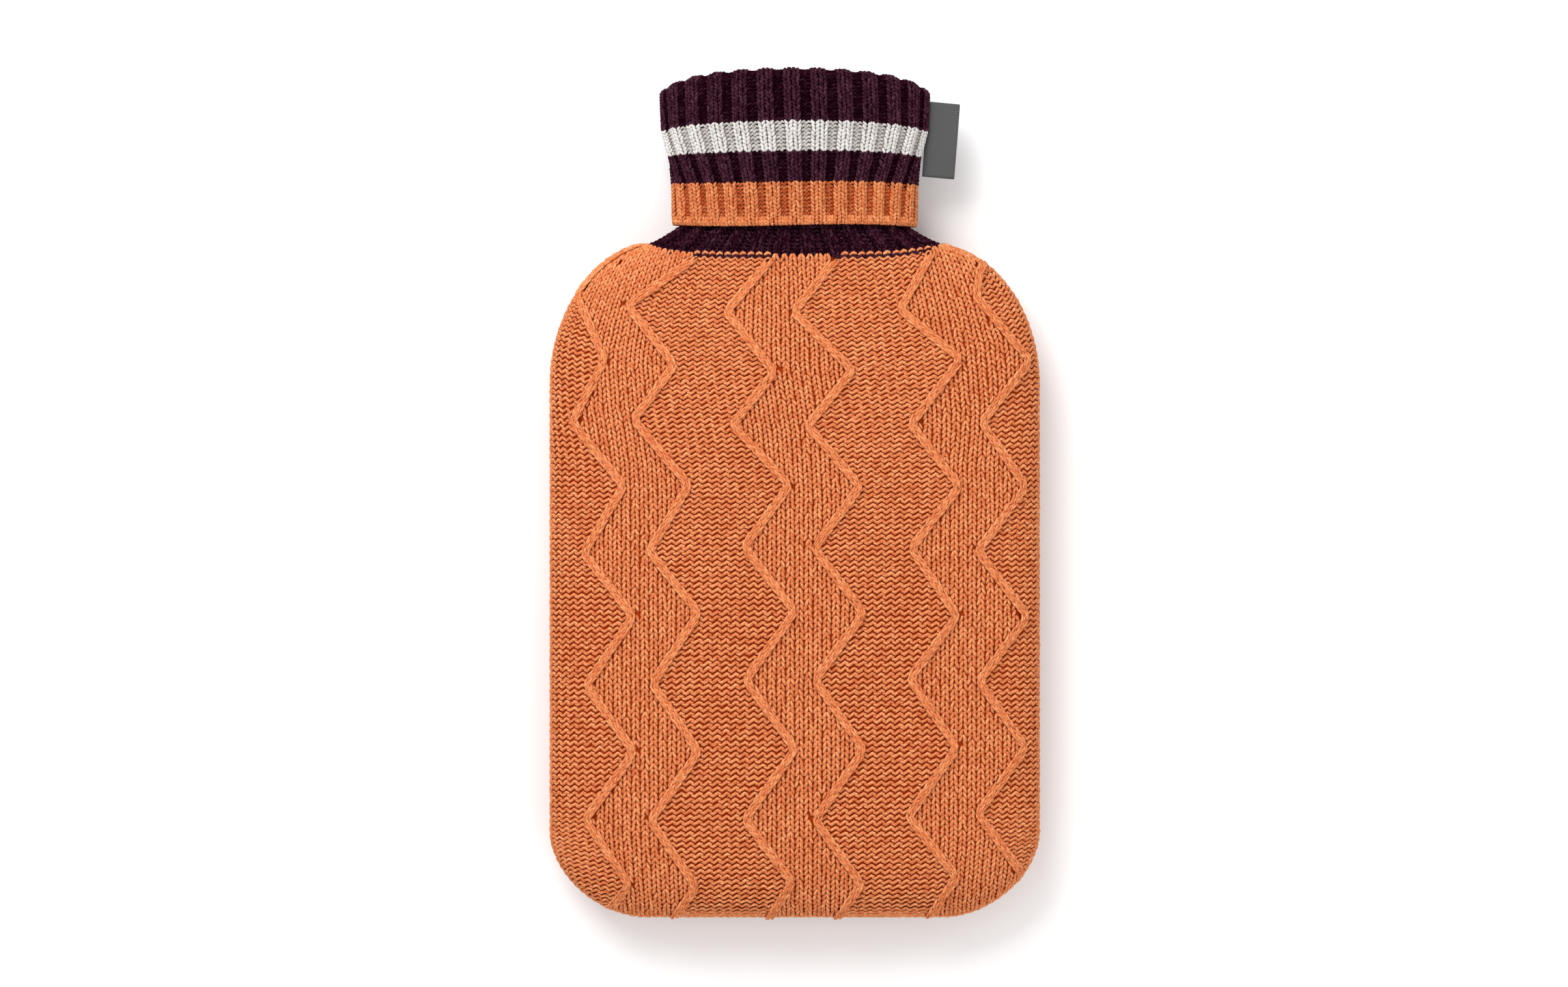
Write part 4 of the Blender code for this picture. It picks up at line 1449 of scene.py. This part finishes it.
    def relief(self, shares: Array, turned: bool) -> Array:
        """How far under its ridges the rib's face lies.

        Args:
            shares: Shares of the way round the collar.
            turned: Whether this is the turned-down layer, whose ridges are the neck's valleys.

        Returns:
            Depths from 0 on a ridge to 1 in a valley.
        """
        ribs = shares * self.ribs + (0.0 if turned else 0.5)
        phase = np.abs(ribs - np.round(ribs))
        return eased((phase - self.ridge_share) / (self.valley_share - self.ridge_share))

    def outside_at(self, share: Array) -> tuple[Array, Array]:
        """The collar's half width and half depth at a share of the way from its hem to its fold."""
        shares, widths, depths = zip(*((s.share, s.half_width, s.half_depth) for s in self.sections))
        return np.interp(share, shares, widths), np.interp(share, shares, depths)

    def layer_point(self, across: Array, up: Array, share: Array, depth: Array, lift: Array) -> Array:
        """A point of the collar at a depth behind its outside.

        Args:
            across: How far across, from -1 to 1.
            up: How far up, from -1 to 1.
            share: The share of the way from hem to fold.
            depth: How far behind the outside.
            lift: How much further along the cover than its share says.

        Returns:
            The point.
        """
        width, half_depth = self.outside_at(share)
        angle = np.arctan2(across, up)
        hem = self.hem_y + self.hem_wave * np.sin(self.hem_waves * angle)
        drop = self.rim_drop * across**2 + self.rim_drop_at_side * np.abs(across) ** 8
        y = mixed(hem, self.fold_y, share) - drop * share**2 + lift
        return np.stack([(width - depth) * across, y, self.form.seam_z + (half_depth - depth) * up], axis=-1)

    def turned_points(self, wales: Array, courses: Array, ground: bool = False) -> Array:
        """Points of the face that looks out on the turned-down layer, from its hem over its fold.

        Args:
            wales: How many wales round they are.
            courses: How many courses up from the hem they are.
            ground: Whether the points are the ground cloth's, under the stitches.

        Returns:
            The points.
        """
        hem_share = self.hem_round / (self.fold_y - self.hem_y)
        share = np.clip(mixed(hem_share, 1.0, courses / self.outside_courses), hem_share, 1.0)
        knit = mixed(self.knit_share_at_hem, self.knit_share, np.clip(courses / self.knit_courses, 0, 1))
        shares = self.round_share(wales, knit)
        across, up = self.direction(self.spread(shares, share))
        low = self.relief(shares, True) * eased(courses / self.ribs_start[0] + self.ribs_start[1])
        near_fold = eased((courses / self.outside_courses - self.fold_from) / (1 - self.fold_from))
        relief = self.raised * low * mixed(1.0, self.fold_relief, near_fold)
        under = mixed(self.ground, self.valley_ground, low) if ground else np.zeros_like(low)
        curl = np.clip(-courses * self.pitch / self.hem_round, 0.0, math.pi)
        turn = np.clip((courses - self.outside_courses) / self.fold_courses, 0.0, 1.0) * math.pi
        past = np.maximum(courses - self.outside_courses - self.fold_courses, 0.0) * self.pitch
        share = share - past / (self.fold_y - self.hem_y)
        hem_radius = np.maximum(self.hem_round - under, 0.2)
        radius = np.maximum(self.wall / 2 - relief - under, 0.3)
        at_hem, over = courses < 0, courses > self.outside_courses
        depth = np.where(at_hem, self.hem_round - hem_radius * np.cos(curl), relief + under)
        lift = np.where(at_hem, -hem_radius * np.sin(curl), 0.0)
        depth = np.where(over, self.wall / 2 - radius * np.cos(turn), depth)
        lift = np.where(over, radius * np.sin(turn), lift)
        return self.layer_point(across, up, share, depth, lift)

    def neck_points(self, wales: Array, courses: Array, under: float = 0.0, ground: bool = False) -> Array:
        """Points of the neck's outside, from under the hem down to the body.

        Args:
            wales: How many wales round they are.
            courses: How many courses down from the hem they are.
            under: How far under that face an even skin lies, or 0 for the ribbed face.
            ground: Whether the points are the ground cloth's, under the stitches.

        Returns:
            The points.
        """
        share = 1 - courses / self.neck_courses
        shares = self.round_share(wales, np.full_like(wales, 0.5 - self.knit_share))
        across, up = self.direction(shares)
        low = self.relief(shares, False)
        relief = self.neck_raised * low + (mixed(self.ground, self.valley_ground, low) if ground else 0.0)
        if under:
            relief = np.full_like(relief, under)
        x = self.form.neck_corner(0.0) * across
        y = self.form.neckline_y(x) + self.form.gap / 2
        swell = self.form.swell(x, y, 0.0, Face.FRONT)
        low_end = np.stack([x, y, self.form.seam_z + np.sign(up) * swell], axis=-1)
        out = unit(np.stack([across * self.neck_flat, np.zeros_like(up), up], axis=-1))
        low_end = low_end - out * relief[..., None]
        end = self.layer_point(across, up, np.zeros_like(across), self.neck_depth + relief, -self.neck_under_hem)
        hollow = np.where(share > 0, np.clip(share, 0.0, None) ** self.neck_hollow, share)
        return mixed(low_end, end, np.stack([share, hollow, share], axis=-1))

    @property
    def neck_courses(self) -> float:
        """How many courses of the neck there are."""
        return (self.hem_y - self.neck_under_hem - self.form.neck_y) / self.pitch

    def map_of(self, points_of: Spread, level_points_of: Spread, first: float, last: float) -> ClothMap:
        """Works out a map of the rib between two courses.

        Args:
            points_of: What places wales and courses on the rib.
            level_points_of: The same for a cloth without ribs, which gives the directions out of it.
            first: The first course.
            last: The last course.

        Returns:
            The map.
        """
        courses = np.arange(first - 0.5, last + 1.0, 0.5)
        wales = np.arange(-2.0, self.wales + 2.5, 0.5)
        grid = np.meshgrid(wales, courses)
        points, level = points_of(grid[0], grid[1]), level_points_of(grid[0], grid[1])
        normals = [unit(np.cross(np.gradient(table, axis=1), np.gradient(table, axis=0))) for table in (points, level)]
        normals = unit(mixed(*normals, self.level_share))
        x, y, _ = probe = points[4, 5]
        if np.dot(normals[4, 5], probe - (0.5 * x, y, self.form.seam_z)) < 0:  # they point into the collar
            normals = -normals
        return ClothMap(points, normals, wales[0], courses[0])

    def stitches(self, first: float, last: float) -> tuple[Array, Array]:
        """The wale and course of the middle of every stitch from one course up to another."""
        grid = np.meshgrid(np.arange(self.wales) + 0.5, np.arange(first, last, 1.0))
        return grid[0].ravel(), grid[1].ravel()

    def stripe_of(self, courses: Array) -> Array:
        """The yarn of the turned-down layer's courses.

        Args:
            courses: Courses up from the hem.

        Returns:
            The slot of each.
        """
        share = courses / self.outside_courses
        slots = np.full(len(courses), self.sections[0].stripe.value)
        for section in self.sections:
            slots = np.where(share >= section.share, section.stripe.value, slots)
        return slots

    def build(self) -> list[bpy.types.Object]:
        """Builds the collar.

        Returns:
            Its pieces, the ground cloth first.
        """
        random = np.random.default_rng(13)
        finishes = [PLUM, CREAM, SHADED_RIB_ORANGE]
        first, last = self.hem_courses, self.outside_courses + self.fold_courses + self.inside_courses
        level = replace(self, raised=0.0, neck_raised=0.0)
        turned = self.map_of(self.turned_points, level.turned_points, first, last)
        knit, purl = Strokes(random), Strokes(random, self.valley_shade_tones)
        wales, courses = self.stitches(first, last)
        courses = courses + 0.5
        self.rib(turned, knit, purl, wales, courses, self.stripe_of(courses), turned=True)
        pieces = [self.ground_tube("collar_ground")]
        pieces.append(knit.spun("collar_ridges", finishes, self.plan))
        pieces.append(purl.spun("collar_valleys", finishes, self.plan))
        neck = self.map_of(self.neck_points, level.neck_points, -1.0, self.neck_courses)
        wales, courses = self.stitches(-0.5, self.neck_courses)
        across, (share, lowest) = self.direction(wales / self.wales)[0], self.neck_corner
        kept = (np.abs(across) < share) | (courses < self.neck_courses - lowest)
        wales, courses = wales[kept], courses[kept]
        strokes = Strokes(random, self.neck_shade_tones)
        self.rib(neck, strokes, strokes, wales, courses, np.zeros(len(wales), int), turned=False)
        pieces.append(strokes.spun("neck_rib", finishes, self.plan))
        return pieces

    def rib(
        self,
        cloth: ClothMap,
        knit: Strokes,
        purl: Strokes,
        wales: Array,
        courses: Array,
        slots: Array,
        turned: bool,
    ) -> None:
        """Adds the stitches of a stretch of rib.

        Args:
            cloth: Where the stitches go.
            knit: What gathers the ridges' strokes.
            purl: What gathers the valleys' strokes.
            wales: The wale of each stitch's middle.
            courses: The course of each stitch's middle.
            slots: The yarn of each stitch.
            turned: Whether this is the turned-down layer, whose ridges are the neck's valleys.
        """
        ridge = (np.abs(self.phase(wales)) < 0.25) == turned
        shown = ridge | ((courses < self.hem_knit) & turned)
        for leg in (RIB_LEG, RIB_LEG.mirrored()):
            knit.add(cloth.place, leg, wales[shown], courses[shown], slots[shown], self.sink)
        purl.add(cloth.place, RIB_HEAD, wales[~shown], courses[~shown], slots[~shown], self.valley_sink)
        phase = np.abs(self.phase(wales + 0.5))
        middle = ~shown & (phase > 0.45 if turned else phase < 0.05)
        purl.add(cloth.place, RIB_SINKER, wales[middle] + 0.5, courses[middle], slots[middle], self.valley_sink)

    def plan(self, points: Array, shift: Array) -> Array:
        """Places points in the bake map, unrolled round the collar's axis.

        Args:
            points: The points.
            shift: Their sides of the yarn.

        Returns:
            Places from 0 to 1.
        """
        up = points[:, 2] - self.form.seam_z
        turn = np.arctan2(points[:, 0] / self.map_axes[0], up / self.map_axes[1]) / (2 * math.pi) + 0.5
        spread = (points[:, 1] - self.form.neck_y + SIDE_SHIFT * shift) / self.map_length
        inside = np.hypot(points[:, 0] / self.map_mouth[0], up / self.map_mouth[1]) < 1.0
        inside &= points[:, 1] > self.hem_y + self.map_inside
        low, high = self.map_halves
        v = np.where(inside, high + self.map_half * (1 - spread), low + self.map_half * spread)
        return np.clip(np.stack([turn * 0.98 + 0.01 + self.map_shift * shift, v], axis=1), *MAP_ENDS)

    def level_ring(self, around: Array, share: float, depth: float) -> Array:
        """A ring of points at one share of the way up the collar.

        Args:
            around: How many wales round it they are.
            share: The share of the way from hem to fold.
            depth: How far behind the collar's outside they are.

        Returns:
            The points.
        """
        shares = self.round_share(around, np.full_like(around, self.knit_share))
        across, up = self.direction(self.spread(shares, np.full_like(around, share)))
        return self.layer_point(across, up, np.full_like(across, share), depth, 0.0)

    def ground_tube(self, name: str) -> bpy.types.Object:
        """Makes the thin tube of cloth under the rib's stitches, in two layers, dark with painted shade of the gaps.

        Args:
            name: The object's name.

        Returns:
            The object.
        """
        around, plum = np.arange(0, self.wales, 0.5), Stripe.PLUM.value
        neck = self.layer + self.layer_gap + self.lining_under
        back = self.layer + self.lining_over
        rings = [self.neck_points(around, np.full_like(around, course), ground=True)
                 for course in np.linspace(self.neck_courses, 0.0, 6)]
        rings += [self.level_ring(around, share, depth)  # up inside the collar, and down again behind its front
                  for share, depth in ((0.35, neck), (0.97, neck), (0.97, back), (0.5, back), (0.06, back))]
        slots = [plum] * (len(rings) - 1) + [Stripe.ORANGE.value]
        last = self.outside_courses + self.fold_courses
        for course in np.concatenate([[-1.4, -0.7, 0.0, 2.0, 4.0], np.arange(6.0, last, 1.5)]):
            rings.append(self.turned_points(around, np.full_like(around, course), ground=True))
            slots.append(int(self.stripe_of(np.array([course, course + 1.5])).min()))  # the darker where two meet
        rings += [self.level_ring(around, share, self.inner_ground) for share in (1.0, 0.5, 0.1)]
        rings += [self.neck_points(around, np.full_like(around, course), under=self.form.knit + self.lining_over)
                  for course in (1.0, self.neck_courses / 2, self.neck_courses)]
        slots += [plum] * (len(rings) - len(slots))
        points = np.array(rings)
        count, columns = points.shape[:2]
        number = np.arange(count * columns).reshape(count, columns)
        faces = grid_faces(np.pad(number, ((0, 1), (0, 1)), mode="wrap"))[:, [0, 3, 2, 1]]
        flat = points.reshape(-1, 3)
        finishes = [PLUM_GAP_SHADE, CREAM_GAP_SHADE, ORANGE_GAP_SHADE]
        return add_mesh(name, flat, [faces], np.repeat(slots, columns), finishes,
                        plan=self.plan(flat, np.zeros(len(flat))))


# The side tab.


@dataclass(frozen=True)
class SideTab:
    """The ribbon that is folded in half and sewn into the collar's right side seam."""

    seam_z: float = 20.0
    seam_x: float = 54.4  # where its upper end leaves the seam
    seam_x_low: float = 52.0
    out: float = 13.2
    top_y: float = 159.7
    height: float = 30.6
    thick: float = 0.7
    half: float = 1.15  # of its thickness, folded
    fall: float = 1.2  # how much lower its folded edge is than its sewn one
    curl: float = 1.2  # how much its folded edge rises between its ends
    rows: int = 25
    steps: int = 9

    def profile(self) -> list[tuple[float, float]]:
        """The ribbon's section: out from the seam, round its fold and back, outer face first.

        Returns:
            Points of the ribbon's middle line.
        """
        outer, inner = self.half, self.half - self.thick
        bend = self.out - outer
        turns = np.linspace(math.pi / 2, -math.pi / 2, self.steps)
        face = [(share * bend, outer) for share in (0.0, 0.33, 0.66)]
        face += [(bend + outer * math.cos(turn), outer * math.sin(turn)) for turn in turns]
        face += [(share * bend, -outer) for share in (0.66, 0.33, 0.0)]
        back = [(0.0, -inner)] + [(bend + inner * math.cos(t), inner * math.sin(t)) for t in turns[::-1]]
        return face + back + [(0.0, inner)]

    def build(self) -> bpy.types.Object:
        """Builds the tab.

        Returns:
            The ribbon.
        """
        rings = []
        for down in np.linspace(0, 1, self.rows):
            seam = mixed(self.seam_x, self.seam_x_low, down)
            ring = []
            for out, up in self.profile():
                lift = self.curl * (out / self.out) ** 2 * math.sin(math.pi * down)
                y = self.top_y - self.height * down - self.fall * out / self.out
                ring.append((seam + out, y, self.seam_z + up + lift))
            rings.append(ring)
        points = np.array(rings)
        count, columns = points.shape[:2]
        number = np.arange(count * columns).reshape(count, columns)
        sides = grid_faces(np.pad(number, ((0, 0), (0, 1)), mode="wrap"))
        i = np.arange(columns // 2 - 1)  # each end is filled from its outer face across to its inner one
        end = np.stack([i, i + 1, columns - 2 - i, columns - 1 - i], axis=1)
        faces = np.concatenate([sides, end[:, ::-1], end + number[-1, 0]])
        plan = np.meshgrid(np.linspace(0.02, 0.98, columns), np.linspace(0.02, 0.98, count))
        return add_mesh("side_ribbon", points.reshape(-1, 3), [faces], np.zeros(len(faces)), [RIBBON],
                        plan=np.stack(plan, axis=-1).reshape(-1, 2))


# The studio.


@dataclass(frozen=True)
class Studio:
    """A pale floor, soft light and the camera that looks straight down."""

    view_width: float = 638.8  # of the photograph's frame
    middle_x: float = -4.4
    middle_y: float = -0.5
    distance: float = 3000.0
    distance_from: float = 30.0  # the height that the camera's distance is measured from
    clips: tuple[float, float] = (0.1, 20.0)  # the nearest and the farthest that it sees, in metres
    sensor: float = 36.0
    floor_half: float = 3000.0
    floor_under: float = 0.1  # how far under the cover the floor is
    floor_colour: Colour = (0.90, 0.90, 0.90)
    ambient: float = 0.80

    def build(self) -> None:
        """Builds the floor, the lights and the camera."""
        scene = bpy.context.scene
        corners = [(x * self.floor_half * MM, y * self.floor_half * MM, -self.floor_under * MM)
                   for x, y in ((-1, -1), (1, -1), (1, 1), (-1, 1))]
        data = bpy.data.meshes.new("floor")
        data.from_pydata(corners, [], [(0, 1, 2, 3)])
        floor = bpy.data.objects.new("floor", data)
        scene.collection.objects.link(floor)
        paper = {"Base Color": (*self.floor_colour, 1.0), "Roughness": 0.9, "Specular IOR Level": 0.1}
        data.materials.append(Recipe("floor_paper").finished(paper))
        world = bpy.data.worlds.new("studio")
        world.use_nodes = True
        world.node_tree.nodes["Background"].inputs["Color"].default_value = (1.0, 1.0, 1.0, 1.0)
        world.node_tree.nodes["Background"].inputs["Strength"].default_value = self.ambient
        scene.world = world
        self.add_light("key", place=(-500, 900, 1000), size=900, power=17.0)
        self.add_light("fill", place=(700, -600, 1100), size=1200, power=5.5)
        shot = bpy.data.cameras.new("camera")
        shot.lens, shot.sensor_width = self.sensor * self.distance / self.view_width, self.sensor
        shot.clip_start, shot.clip_end = self.clips
        camera = bpy.data.objects.new("camera", shot)
        camera.location = (self.middle_x * MM, self.middle_y * MM, (self.distance + self.distance_from) * MM)
        scene.collection.objects.link(camera)
        scene.camera = camera
        scene.view_settings.view_transform = "Standard"
        scene.view_settings.look = "None"

    def add_light(self, name: str, place: tuple[float, float, float], size: float, power: float) -> None:
        """Adds a square soft light that faces the object.

        Args:
            name: The light's name.
            place: Where it hangs, in mm.
            size: Its side, in mm.
            power: Its power, in watts.
        """
        data = bpy.data.lights.new(name, "AREA")
        data.shape, data.size, data.energy = "SQUARE", size * MM, power
        light = bpy.data.objects.new(name, data)
        spot = np.array(place) * MM
        light.location = tuple(spot)
        aim = -spot / np.linalg.norm(spot)
        light.rotation_euler = (math.acos(-aim[2]), 0.0, math.atan2(aim[1], aim[0]) - math.pi / 2)
        bpy.context.scene.collection.objects.link(light)


def declare(
    pieces: list[bpy.types.Object],
    node: str,
    area: float | None = None,
) -> None:
    """Hides the imported solid of the node that a cloth and its stitches stand for.

    Args:
        pieces: The ground cloth, then the pieces on it.
        node: The node that they replace.
        area: Its flat area in square millimetres, where it isn't a rectangle. It is not used.
    """
    for piece in pieces:
        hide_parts(node)
    area = None if area is None else area * MM * MM


def main() -> None:
    """Builds the cover's pieces and the studio, and hides the imported solids that they replace."""
    logging.basicConfig(level=logging.INFO, format="%(message)s", stream=sys.stdout)
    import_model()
    Studio().build()
    form = BodyForm()
    declare(Front(form, Face.FRONT).build(), "front_panel", area=55500)
    declare(Back(form, Face.BACK).build(), "back_panel", area=55500)
    declare(RibCollar(form).build(), "rib_collar")
    declare([SideTab().build()], "side_tab")


if __name__ == "__main__":
    main()
